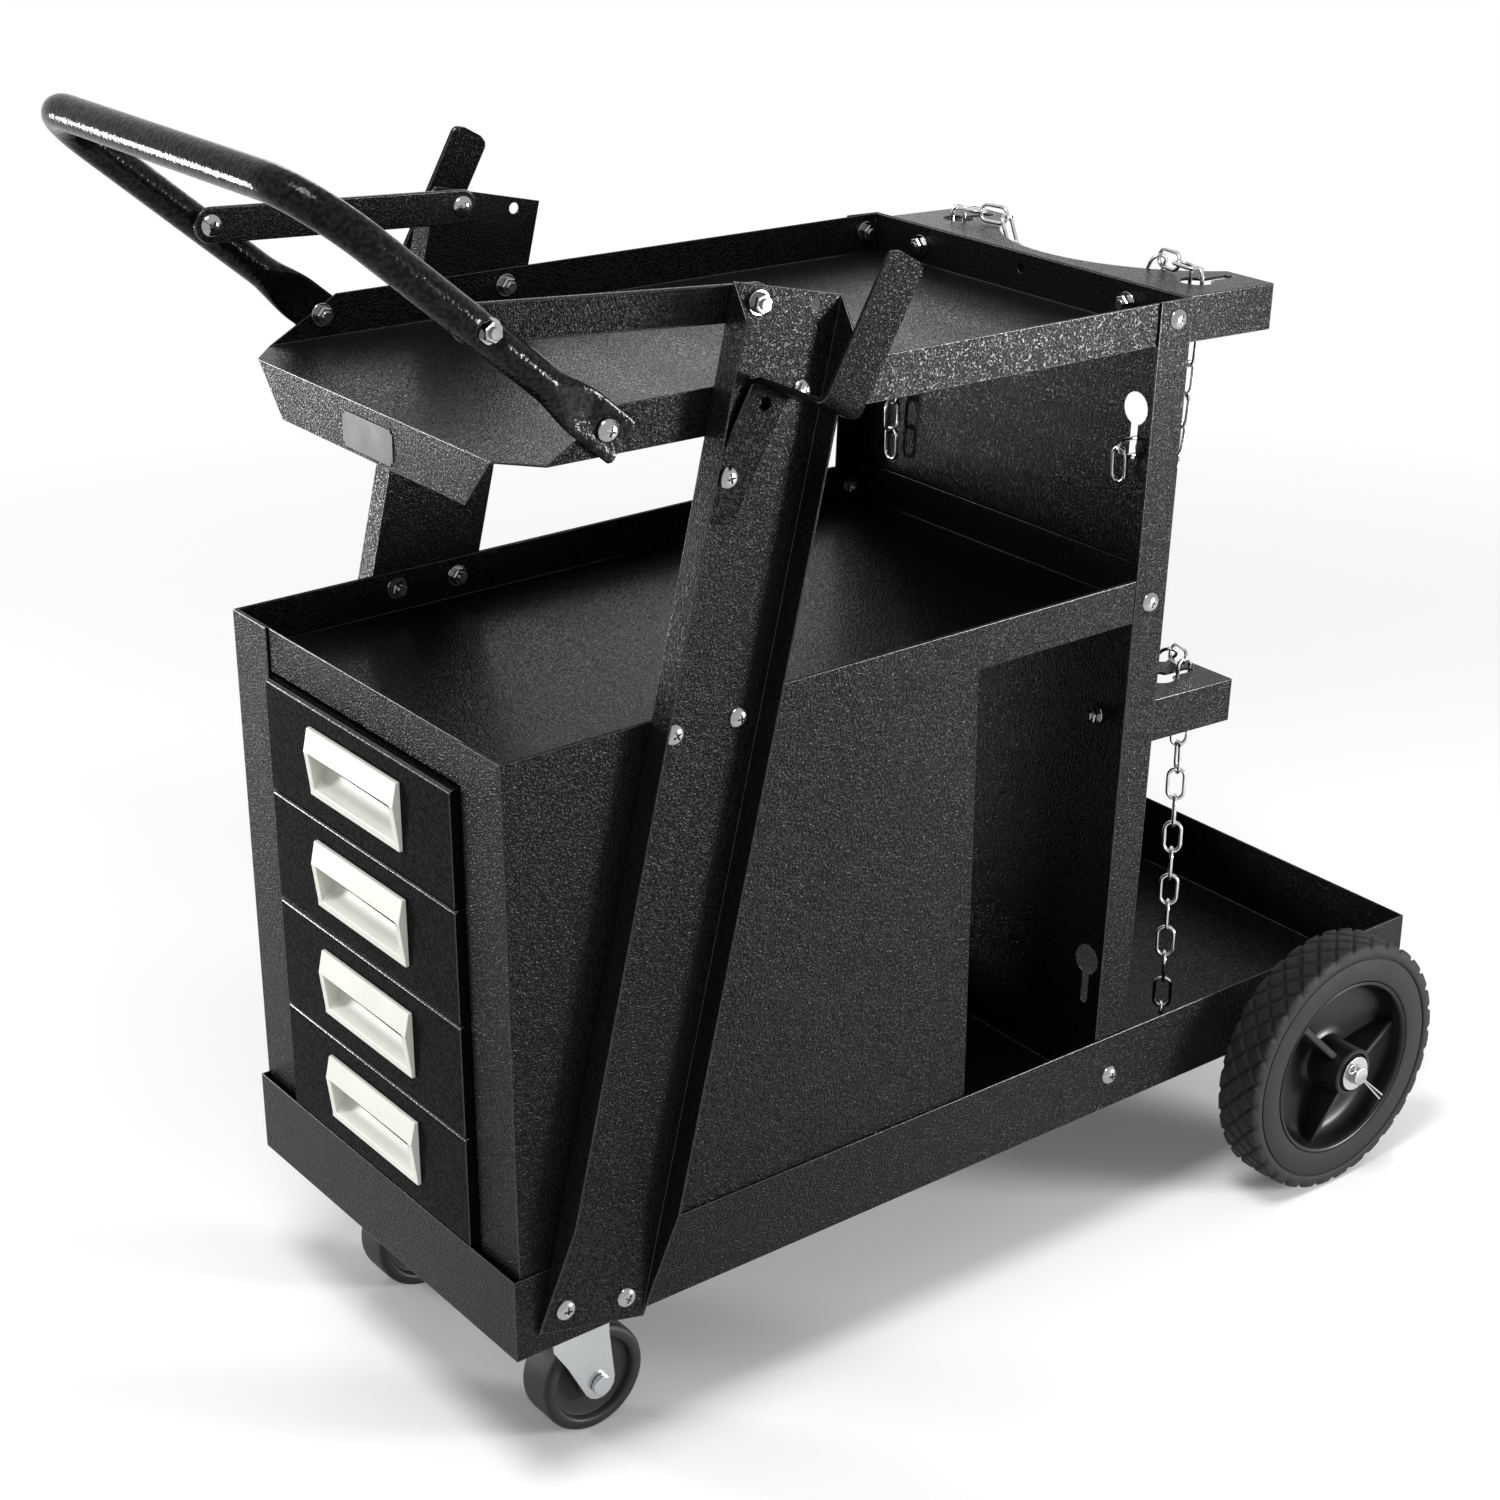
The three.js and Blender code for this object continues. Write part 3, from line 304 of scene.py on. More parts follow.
# the blank plate on the tray's lip, with a raised rim
def buildPlate(s):
    bm = bmesh.new()
    wide, high = s["size"]
    bmesh.ops.create_grid(bm, x_segments=1, y_segments=1, size=0.5)
    for v in bm.verts:
        v.co = Vector((v.co.x * wide, v.co.y * high, s["rise"]))
    bmesh.ops.bevel(bm, geom=list(bm.verts), offset=s["round"], segments=5, affect="VERTICES")
    face = bm.faces[:][0]
    bmesh.ops.inset_region(bm, faces=[face], thickness=s["rim"])
    bmesh.ops.inset_region(bm, faces=[face], thickness=s["step"][0], depth=s["step"][1])
    rim = [e for e in bm.edges if e.is_boundary]
    grown = bmesh.ops.extrude_edge_only(bm, edges=rim)
    low = [v for v in grown["geom"] if isinstance(v, bmesh.types.BMVert)]
    for v in low:
        v.co.z = s["foot"]
    bmesh.ops.contextual_create(bm, geom=[e for e in bm.edges if e.is_boundary])
    turn = Vector(s["lean"]).to_track_quat("Z", "Y")
    for v in bm.verts:
        v.co = place(*(turn @ v.co + Vector(s["middle"])))
    bmesh.ops.recalc_face_normals(bm, faces=bm.faces)
    mesh = bpy.data.meshes.new("plate")
    bm.to_mesh(mesh)
    bm.free()
    smoothMesh(mesh, 35)
    settle(linkObject("blank_plate", mesh, plateFinish), "chassis", "paint")


# outlines are (out of the drawer, up from the lower edge)
pullSet = {
    "half": 48.5, "ridge": 5.5, "soft": 0.55,
    "face": [(0, 0), (0, 41), (-2.2, 41), (-2.6, 40.4), (-5.5, 27.3), (-5.2, 25.8), (-2.7, 5.2), (-2.5, 3), (-2.5, 0)],
    "cup": [(-1, 5.1), (10, 5.1), (10, 35.9), (-1, 35.9)], "cupHalf": 44.4,
    "cave": [(-9, 4.2), (-3, 4.2), (-1, 5.4), (0.6, 6.8), (2.6, 8.6), (4.6, 11.2), (6.3, 14.6), (7.6, 18.8), (8.3, 24),
             (8.5, 34.3), (0.8, 34.5), (-0.7, 34), (-2.2, 31.6), (-3.4, 28.6), (-4.2, 26.9), (-9, 26.9)],
    "caveHalf": 43.4,
}


def slab(name, outline, half, front, low):
    rings = [[Vector((front + x, y, low + z)) for x, z in outline] for y in (-half, half)]
    return linkObject(name, gridMesh(name, [[place(*v) for v in ring] for ring in rings]))


# one moulded finger pull: sloped brow, cup behind the drawer face and a curved ramp inside
def buildPull(s, node):
    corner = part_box(node)[0] * 1000 - frameShift
    front, low = corner.x + s["ridge"], corner.z
    pull = slab(node + "_moulded", s["face"], s["half"], front, low)
    tools = [(slab("cup", s["cup"], s["cupHalf"], front, low), "UNION"),
             (slab("cave", s["cave"], s["caveHalf"], front, low), "DIFFERENCE")]
    for tool, how in tools:
        step = pull.modifiers.new(how, "BOOLEAN")
        step.operation = how
        step.object = tool
    soft = pull.modifiers.new("soft", "BEVEL")
    soft.width = s["soft"] / 1000
    soft.segments = 3
    soft.limit_method = "ANGLE"
    soft.angle_limit = math.radians(32)
    bakeModifiers(pull)
    for tool, _ in tools:
        bpy.data.objects.remove(tool)
    pull.data.materials.clear()
    pull.data.materials.append(ivoryPlastic)
    smoothMesh(pull.data, 36)
    return evenFlats(pull)


def buildSheets():
    for node, stock in sheetNodes.items():
        obj = brokenEdges(node, node + "_sheet", blackCoat, sheetSet[stock], holes=openHoles.get(node, ()),
                          edge=edgeCoat)
        settle(obj, "chassis", "paint", node)
    for number in range(1, 5):
        body = f"drawer_{number}_body"
        drawer = brokenEdges(f"drawer_{number}", f"drawer_{number}_sheet", drawerCoat, sheetSet["thin"], edge=edgeCoat)
        for face in drawer.data.polygons:
            if max(abs(v) for v in face.normal) < 0.97:
                face.material_index = 1
        settle(drawer, body, "paint", f"drawer_{number}")
        pull = buildPull(pullSet, f"drawer_pull_{number}")
        settle(pull, body, "pull", f"drawer_pull_{number}")


# the remaining ironwork: node, body, finish and edge width
ironSet = {
    "drawer_runner": ("chassis", "paint", 0.35), "axle_bracket": ("chassis", "paint", 0.6),
    "caster_plate": ("chassis", "zinc", 0.6), "axle_washer": ("chassis", "zinc", 0.3),
    "cotter_pin": ("chassis", "zinc", 0.25), "caster_bolt": ("swivel", "zinc", 0.5),
}


def buildIron(s):
    for node, (body, slot, width) in s.items():
        for word in ("right", "left"):
            obj = brokenEdges(f"{node}_{word}", f"{node}_{word}_edged", slotFinishes[slot], width)
            settle(obj, f"caster_swivel_{word}" if body == "swivel" else body, slot, f"{node}_{word}")
    settle(brokenEdges("rear_axle", "rear_axle_edged", axleSteel, 0.6), "chassis", "axle", "rear_axle")


# the plain solids take the finish of their slot
def paintNodes():
    for part in frame["record"]["subparts"]:
        mesh = nodes[part["node"]].data
        mesh.materials.clear()
        mesh.materials.append(slotFinishes[part["material_slot"]])


hookSet = {"bend": (175.35, 144.1, 629.4), "lean": 30.0, "tail": 77.0, "reach": 60.0, "arm": 82.0, "half": 13.0,
           "stock": 3.0, "inside": 3.5, "corner": 6.0, "hole": (11.0, 3.8), "soft": 0.6, "steps": 120}


# the bent strip, laid out flat along its length and then folded twice
def foldHook(s, along, out):
    turn, bent = s["inside"] + s["stock"], (s["inside"] + s["stock"] / 2) * math.pi / 2
    ledge = s["reach"] - 2 * turn
    marks = [s["tail"] - turn, bent, ledge, bent]
    if along < marks[0]:
        return out, along - s["tail"]
    along -= marks[0]
    if along < marks[1]:
        angle = along / marks[1] * math.pi / 2
        radius = turn - out
        return turn - radius * math.cos(angle), radius * math.sin(angle) - turn
    along -= marks[1]
    if along < marks[2]:
        return turn + along, -out
    along -= marks[2]
    if along < marks[3]:
        angle = along / marks[3] * math.pi / 2
        radius = s["inside"] + out
        return s["reach"] - turn + radius * math.sin(angle), s["inside"] - radius * math.cos(angle)
    return s["reach"] - turn + s["inside"] + out, s["inside"] + along - marks[3]


def buildHooks(s):
    turn, bent = s["inside"] + s["stock"], (s["inside"] + s["stock"] / 2) * math.pi / 2
    length = s["tail"] - turn + 2 * bent + s["reach"] - 2 * turn + s["arm"] - s["inside"]
    lean = Matrix.Rotation(math.radians(s["lean"]), 3, "Y")
    for word, side in (("right", -1), ("left", 1)):
        rings = []
        for step in range(s["steps"] + 1):
            along = length * step / s["steps"]
            nearEnd = min(along, length - along)
            inset = 0.0
            if nearEnd < s["corner"]:
                inset = s["corner"] - math.sqrt(max(0, s["corner"] ** 2 - (s["corner"] - nearEnd) ** 2))
            half, soft, stock, ring = s["half"] - inset, s["soft"], s["stock"], []
            for across, out in ((-half, soft), (-half + soft, 0), (half - soft, 0), (half, soft),
                                (half, stock - soft), (half - soft, stock),
                                (-half + soft, stock), (-half, stock - soft)):
                y, z = foldHook(s, along, out)
                spot = lean @ Vector((across, 0, z))
                ring.append(place(s["bend"][0] + spot.x, side * (s["bend"][1] + y), s["bend"][2] + spot.z))
            rings.append(ring)
        hook = linkObject(f"torch_hook_{word}_bent", gridMesh("hook", rings), hookCoat)
        hook.data.materials.append(edgeCoat)
        for face in hook.data.polygons:
            corners = {v % 8 for v in face.vertices}
            face.material_index = int(corners in ({0, 1}, {2, 3}, {4, 5}, {6, 7}))
        drop, radius = s["hole"]
        at = lean @ Vector((0, 0, -drop))
        spot = (s["bend"][0] + at.x, side * (s["bend"][1] + s["stock"] / 2), s["bend"][2] + at.z)
        drillHoles(hook, [(spot, (0, 1, 0), radius, 5)])
        smoothMesh(hook.data, 38)
        settle(hook, "chassis", "paint", f"torch_hook_{word}")


# revolved and lofted pieces
def gridMesh(name, rings, closeRow=False):
    count = len(rings[0])
    verts = [tuple(v) for ring in rings for v in ring]
    faces = []
    for row in range(len(rings) if closeRow else len(rings) - 1):
        after = (row + 1) % len(rings)
        for spot in range(count):
            beside = (spot + 1) % count
            faces.append((row * count + spot, row * count + beside, after * count + beside, after * count + spot))
    if not closeRow:
        faces.append(tuple(range(count - 1, -1, -1)))
        faces.append(tuple(range((len(rings) - 1) * count, len(rings) * count)))
    mesh = bpy.data.meshes.new(name)
    mesh.from_pydata(verts, [], faces)
    bm = bmesh.new()
    bm.from_mesh(mesh)
    bmesh.ops.recalc_face_normals(bm, faces=bm.faces)
    bm.to_mesh(mesh)
    bm.free()
    return mesh


def turnedMesh(name, profile, centre, segments):
    rings = []
    for step in range(segments):
        angle = step / segments * 2 * math.pi - math.pi / 2
        rings.append([place(centre[0] + r * math.cos(angle), y, centre[1] + r * math.sin(angle)) for r, y in profile])
    return gridMesh(name, rings, True)


def joinInto(obj, *others):
    bm = bmesh.new()
    for piece in (obj, *others):
        bm.from_mesh(piece.data)
    bm.to_mesh(obj.data)
    bm.free()
    for piece in others:
        bpy.data.objects.remove(piece)
    return obj


# the tube handle, flattened at its bolts, with one dimple in each arm
handleSet = {"bolt": (73.0, 623.0), "grip": (-84.0, 759.3), "plane": 143.55, "radius": 9.3, "bend": 40.0,
             "flat": (26.0, 4.5), "end": 13.0, "sides": 40, "flatten": (48, 34), "square": 0.55, "waist": 0.42,
             "dimple": 92.8, "dent": 3.6, "dentHalf": 8.5, "dentSpread": 4.2, "dentStep": 1.6}


def handleRing(s, along, across, heading, flat, dent=0.0):
    bolt = Vector((s["bolt"][0], across, s["bolt"][1]))
    reach = Vector((s["grip"][0] - s["bolt"][0], 0, s["grip"][1] - s["bolt"][1]))
    arm = reach.normalized()
    wideWay = Vector((arm.z, 0, -arm.x))
    inward = Vector((0, math.cos(heading), 0)) - arm * math.sin(heading)
    wide = s["radius"] + (s["flat"][0] / 2 - s["radius"]) * flat
    thin = s["radius"] + (s["flat"][1] / 2 - s["radius"]) * flat
    power = 1 - s["square"] * flat
    ring = []
    for step in range(s["sides"]):
        angle = step / s["sides"] * 2 * math.pi
        c, d = math.cos(angle), math.sin(angle)
        u = math.copysign(abs(c) ** power, c) * wide
        v = math.copysign(abs(d) ** power, d) * thin
        v *= 1 - flat * (s["waist"] - s["waist"] * (u / wide) ** 2)
        if dent and v < 0:
            v = max(v, -thin + dent * max(0.0, 1 - (u / s["dentHalf"]) ** 2))
        ring.append(place(*(bolt + arm * along + wideWay * u + inward * v)))
    return ring


def buildHandle(s):
    reach = math.hypot(s["grip"][0] - s["bolt"][0], s["grip"][1] - s["bolt"][1])
    rings = []
    for along in [-s["end"], -s["end"] + 1.5, 0, 12] + list(range(15, 66, 3)):
        share = min(1, max(0, (s["flatten"][0] - along) / s["flatten"][1]))
        flat = share * share * (3 - 2 * share)
        trim = 0.9 if along == -s["end"] else 1.0
        ring = handleRing(s, along, -s["plane"], 0, flat)
        middle = sum(ring, Vector()) / len(ring)
        rings.append([middle + (v - middle) * trim for v in ring])
    for step in range(-10, 11):
        along = s["dimple"] + step * s["dentStep"]
        dent = s["dent"] * math.exp(-(step / s["dentSpread"]) ** 4)
        rings.append(handleRing(s, along, -s["plane"], 0, 0, dent))
    for step in range(0, 17):
        turn = math.radians(step * 90 / 16)
        across = -s["plane"] + s["bend"] * (1 - math.cos(turn))
        rings.append(handleRing(s, reach - s["bend"] + s["bend"] * math.sin(turn), across, turn, 0))
    other = [[Vector((v.x, -v.y, v.z)) for v in ring] for ring in reversed(rings)]
    mesh = gridMesh("handleTube", rings + other)
    smoothMesh(mesh, 50)
    settle(linkObject("handle_tube", mesh, handleCoat), "chassis", "handle_paint", "handle")


wheelSet = {"axle": (627.7, 89.0), "inner": 158.4, "radius": 89.0, "width": 33.0, "bore": 62.0,
            "blocks": 32, "rows": 4, "depth": 2.2, "groove": 0.26, "perBlock": 12,
            "crown": 0.45, "margin": 2, "fade": (82, 4)}


# diamond tread: blocks between two crossing sets of grooves, which fade out down the shoulder
def tyreMesh(name, s, side):
    sideWall = [(6.0, s["bore"]), (1.6, s["bore"] + 0.1), (0.7, s["bore"] + 0.7), (0.4, s["bore"] + 1.6),
                (0.4, 77.8), (0.6, 78.2), (1.3, 78.5), (1.3, 79.0), (0.5, 79.3), (0.1, 79.8), (0.0, 82.4)]
    shoulder = [(0.1, 84.2), (0.5, 85.9), (1.1, 87.2), (1.9, 88.1)]
    middle = [(2.8 + i * (s["width"] - 5.6) / 40, s["radius"] - s["crown"] * (abs(i - 20) / 20) ** 2)
              for i in range(41)]
    half = sideWall + shoulder
    profile = half + middle + [(s["width"] - w, r) for w, r in reversed(half)]
    columns = s["blocks"] * s["perBlock"]
    rings = []
    for step in range(columns):
        angle = step / columns * 2 * math.pi - math.pi / 2
        column = step / columns * 2 * s["blocks"]
        ring = []
        for w, r in profile:
            row = (w - s["margin"]) / (s["width"] - 2 * s["margin"]) * s["rows"]
            a = abs((column + row + 1) % 2 - 1)
            b = abs((column - row + 1) % 2 - 1)
            share = min(1, max(0, (min(a, b) - 0.05) / s["groove"]))
            fade = min(1, max(0, (r - s["fade"][0]) / s["fade"][1]))
            r -= s["depth"] * fade * (1 - share * share * (3 - 2 * share))
            y = side * (s["inner"] + w)
            ring.append(place(s["axle"][0] + r * math.cos(angle), y, s["axle"][1] + r * math.sin(angle)))
        rings.append(ring)
    mesh = gridMesh(name, rings, True)
    smoothMesh(mesh, 46)
    return mesh


hubSetup = {"boss": 16.5, "ringGap": (12.5, 13.6), "end": 40.6, "bore": 6.45, "rim": 61.7, "web": 11.0,
            "ribs": 3, "firstRib": 13.0, "ribWidth": 4.4}


def hubProfile(s):
    gapIn, gapOut = s["ringGap"]
    return [(s["bore"], -10), (13, -10), (13, 5), (50, 5), (57, 1), (s["rim"], 1), (s["rim"], 32), (60.9, 32.5),
            (60, 32.3), (59.2, 31.5), (58.6, 29.6), (57.8, 25), (56.6, 20.8), (54.6, 18), (51.4, 16.2), (46, 15.3),
            (36, 14.6), (24, 13.9), (20, 14.1), (17.8, 15.4), (16.9, 17.6), (s["boss"], 21),
            (s["boss"], s["end"] - 0.9), (s["boss"] - 0.9, s["end"]), (gapOut + 0.3, s["end"]),
            (gapOut, s["end"] - 0.4), (gapOut, s["end"] - 5), (gapIn, s["end"] - 5), (gapIn, s["end"] - 0.7),
            (gapIn - 0.4, s["end"] - 0.2), (s["bore"], s["end"] - 0.2)]


def addRibs(hub, s, side):
    ribs = []
    for number in range(s["ribs"]):
        bm = bmesh.new()
        corners = [(s["boss"] - 1.5, 11), (57, 13), (57.9, 24.5), (s["boss"] - 1.5, 35)]
        front = [bm.verts.new((r, -s["ribWidth"] / 2, w)) for r, w in corners]
        face = bm.faces.new(front)
        grown = bmesh.ops.extrude_face_region(bm, geom=[face])
        moved = [v for v in grown["geom"] if isinstance(v, bmesh.types.BMVert)]
        bmesh.ops.translate(bm, vec=(0, s["ribWidth"], 0), verts=moved)
        bmesh.ops.recalc_face_normals(bm, faces=bm.faces)
        bmesh.ops.bevel(bm, geom=list(bm.edges), offset=0.7, segments=2, affect="EDGES")
        turn = math.radians(s["firstRib"] + number * 360 / s["ribs"])
        for v in bm.verts:
            r, t, w = v.co
            x, z = r * math.cos(turn) - t * math.sin(turn), r * math.sin(turn) + t * math.cos(turn)
            v.co = place(wheelSet["axle"][0] + x, side * (wheelSet["inner"] + w), wheelSet["axle"][1] + z)
        bmesh.ops.recalc_face_normals(bm, faces=bm.faces)
        mesh = bpy.data.meshes.new("rib")
        bm.to_mesh(mesh)
        bm.free()
        ribs.append(linkObject("rib", mesh))
    return joinInto(hub, *ribs)


rollerSetup = {"spot": (75.7, 94.0, 34.5), "radius": 34.5, "half": 13.5}


def rollerProfile(s, side):
    h, r = s["half"], s["radius"]
    half = [(4.1, h - 1), (10.5, h - 1), (11.4, h - 1.6), (12, h - 4.2), (24.4, h - 4.4), (25.6, h - 4),
            (26.6, h - 1.2), (27.4, h - 0.3), (28.4, h), (r - 3.2, h), (r - 1.9, h - 0.35), (r - 0.8, h - 1.2),
            (r - 0.2, h - 2.4), (r, h - 4)]
    return [(a, side * s["spot"][1] - b) for a, b in half] + [(a, side * s["spot"][1] + b) for a, b in reversed(half)]


def buildWheels():
    for word, side in (("right", -1), ("left", 1)):
        tyre = linkObject(f"tyre_{word}_tread", tyreMesh("tyre", wheelSet, side), tyreRubber)
        settle(tyre, f"wheel_{word}", "tyre", f"tyre_{word}")
        profile = [(r, side * (wheelSet["inner"] + w)) for r, w in hubProfile(hubSetup)]
        hub = linkObject(f"hub_{word}_moulded", turnedMesh("hub", profile, wheelSet["axle"], 128), hubPlastic)
        addRibs(hub, hubSetup, side)
        smoothMesh(hub.data, 35)
        settle(hub, f"wheel_{word}", "hub", f"wheel_hub_{word}")
        s = rollerSetup
        roller = turnedMesh("roller", rollerProfile(s, side), (s["spot"][0], s["spot"][2]), 112)
        smoothMesh(roller, 40)
        settle(linkObject(f"caster_roller_{word}_turned", roller, rollerRubber), f"caster_roller_{word}",
               "caster_tread", f"caster_wheel_{word}")
        fork = brokenEdges(f"caster_fork_{word}", f"caster_fork_{word}_pressed", brightZinc, 0.7)
        settle(fork, f"caster_swivel_{word}", "zinc", f"caster_fork_{word}")


# geometry nodes: one shape set on many spots
def newTree(name, sockets):
    tree = bpy.data.node_groups.new(name, "GeometryNodeTree")
    tree.interface.new_socket("Geometry", in_out="OUTPUT", socket_type="NodeSocketGeometry")
    tree.interface.new_socket("Spots", in_out="INPUT", socket_type="NodeSocketGeometry")
    for label, kind in sockets:
        tree.interface.new_socket(label, in_out="INPUT", socket_type=kind)
    return tree, tree.nodes.new("NodeGroupInput"), tree.nodes.new("NodeGroupOutput")


def finishTree(tree, start, end, shape):
    link = tree.links.new
    turn = tree.nodes.new("GeometryNodeInputNamedAttribute")
    turn.data_type = "FLOAT_VECTOR"
    turn.inputs["Name"].default_value = "turn"
    euler = tree.nodes.new("FunctionNodeEulerToRotation")
    link(turn.outputs["Attribute"], euler.inputs["Euler"])
    spots = tree.nodes.new("GeometryNodeMeshToPoints")
    link(start.outputs["Spots"], spots.inputs["Mesh"])
    setOn = tree.nodes.new("GeometryNodeInstanceOnPoints")
    link(spots.outputs["Points"], setOn.inputs["Points"])
    link(shape, setOn.inputs["Instance"])
    link(euler.outputs["Rotation"], setOn.inputs["Rotation"])
    real = tree.nodes.new("GeometryNodeRealizeInstances")
    link(setOn.outputs["Instances"], real.inputs["Geometry"])
    coat = tree.nodes.new("GeometryNodeSetMaterial")
    link(real.outputs["Geometry"], coat.inputs["Geometry"])
    link(start.outputs["Finish"], coat.inputs["Material"])
    link(coat.outputs["Geometry"], end.inputs["Geometry"])


def runTree(name, tree, spots, values):
    mesh = bpy.data.meshes.new(name)
    mesh.from_pydata([tuple(at) for at, _ in spots], [], [])
    turns = mesh.attributes.new("turn", "FLOAT_VECTOR", "POINT")
    for number, (_, euler) in enumerate(spots):
        turns.data[number].vector = tuple(euler)
    obj = linkObject(name, mesh)
    nodesMod = obj.modifiers.new("set", "NODES")
    nodesMod.node_group = tree
    for item in tree.interface.items_tree:
        if item.in_out == "INPUT" and item.name in values:
            nodesMod[item.identifier] = values[item.name]
    bakeModifiers(obj)
    return obj


def linkTree():
    tree, start, end = newTree("chainLinks", [("Length", "NodeSocketFloat"), ("Width", "NodeSocketFloat"),
                                              ("Wire", "NodeSocketFloat"), ("Finish", "NodeSocketMaterial")])
    link = tree.links.new

    def sum2(a, b, how):
        node = tree.nodes.new("ShaderNodeMath")
        node.operation = how
        link(a, node.inputs[0])
        if isinstance(b, float):
            node.inputs[1].default_value = b
        else:
            link(b, node.inputs[1])
        return node.outputs[0]

    pathLong = sum2(start.outputs["Length"], start.outputs["Wire"], "SUBTRACT")
    pathWide = sum2(start.outputs["Width"], start.outputs["Wire"], "SUBTRACT")
    oblong = tree.nodes.new("GeometryNodeCurvePrimitiveQuadrilateral")
    link(pathLong, oblong.inputs["Width"])
    link(pathWide, oblong.inputs["Height"])
    rounded = tree.nodes.new("GeometryNodeFilletCurve")
    rounded.mode = "POLY"
    rounded.inputs["Count"].default_value = 7
    link(oblong.outputs["Curve"], rounded.inputs["Curve"])
    link(sum2(pathWide, 0.4995, "MULTIPLY"), rounded.inputs["Radius"])
    circle = tree.nodes.new("GeometryNodeCurvePrimitiveCircle")
    circle.inputs["Resolution"].default_value = 12
    link(sum2(start.outputs["Wire"], 0.5, "MULTIPLY"), circle.inputs["Radius"])
    sweep = tree.nodes.new("GeometryNodeCurveToMesh")
    link(rounded.outputs["Curve"], sweep.inputs["Curve"])
    link(circle.outputs["Curve"], sweep.inputs["Profile Curve"])
    soft = tree.nodes.new("GeometryNodeSetShadeSmooth")
    link(sweep.outputs["Mesh"], soft.inputs["Geometry"])
    finishTree(tree, start, end, soft.outputs["Geometry"])
    return tree


# heights run up the leaning panel from its foot, and rise, swag and ends are numbers of links
chainSetup = {"length": 23.5, "width": 13.0, "wire": 2.5, "pitch": 19.0, "lean": 2.49, "foot": (463.4, 101.5),
              "sheet": 1.2, "lift": 7.1, "clear": 3.0, "panelHole": 105.0, "slot": 419.9, "slotRest": 0.9,
              "bracketHole": 106.5, "bracketHoleX": 39.0, "slotReach": 30.0, "slotGap": 1.2,
              "brackets": (272.2, 523.5), "bow": 7.0, "rise": 9, "swag": 11, "upperEnds": (1, 3),
              "lowerEnds": (13, 1), "twist": -45.0}


def panelPoint(behind, across, up):
    lean = math.radians(chainSetup["lean"])
    x = chainSetup["foot"][0] + behind * math.cos(lean) + up * math.sin(lean)
    return Vector((x, across, chainSetup["foot"][1] + up * math.cos(lean) - behind * math.sin(lean)))


# joints of a chain that hangs as a catenary between two points
def hangChain(start, end, links, pitch):
    flat = Vector((end.x - start.x, end.y - start.y, 0))
    span, rise = flat.length, end.z - start.z
    flat.normalize()

    def droop(length):
        goal = math.sqrt(length ** 2 - rise ** 2)
        small, large = span / 40, span * 40
        for _ in range(80):
            middle = math.sqrt(small * large)
            if 2 * middle * math.sinh(span / (2 * middle)) > goal:
                small = middle
            else:
                large = middle
        low = span / 2 - small * math.atanh(rise / length)
        points = []
        for i in range(601):
            at = span * i / 600
            z = small * (math.cosh((at - low) / small) - math.cosh(low / small))
            points.append(Vector((start.x + flat.x * at, start.y + flat.y * at, start.z + z)))
        return points

    def step(points):
        joints, at = [start.copy()], 1
        while len(joints) < links and at < len(points):
            last = joints[-1]
            if (last - points[at]).length >= pitch:
                before = points[at - 1]
                a, b = (last - before).length, (last - points[at]).length
                joints.append(before.lerp(points[at], (pitch - a) / (b - a)))
            else:
                at += 1
        return joints

    short, long = max(links * pitch, math.hypot(span, rise) * 1.001), links * pitch * 1.4
    for _ in range(50):
        middle = (short + long) / 2
        joints = step(droop(middle))
        if len(joints) < links or (joints[links - 1] - end).length < pitch:
            short = middle
        else:
            long = middle
    return step(droop(long)) + [end.copy()]


def freeEnd(start, links, pitch):
    return [start - Vector((0, 0, number * pitch)) for number in range(1, links + 1)]


def acrossCart(point):
    return Vector((point.x, -point.y, point.z))


def linkSpots(joints, edgewise, twist=0.0):
    spots = []
    along = (joints[1] - joints[0]).normalized()
    sideways = Vector((0, 1, 0))
    for number in range(len(joints) - 1):
        after = (joints[number + 1] - joints[number]).normalized()
        sideways.rotate(along.rotation_difference(after))
        along = after
        flatWay = sideways.cross(along) if (number - edgewise) % 2 == 0 else sideways.copy()
        flatWay = (flatWay - along * flatWay.dot(along)).normalized()
        # the hanging end turns a little more with each link until it has the full twist
        turn = math.radians(twist) * min(1, max(0, edgewise - number) / 4)
        flatWay.rotate(Matrix.Rotation(turn, 3, along))
        basis = Matrix((along, flatWay, along.cross(flatWay))).transposed()
        middle = (joints[number] + joints[number + 1]) / 2
        spots.append((place(*middle), basis.to_euler()))
    return spots


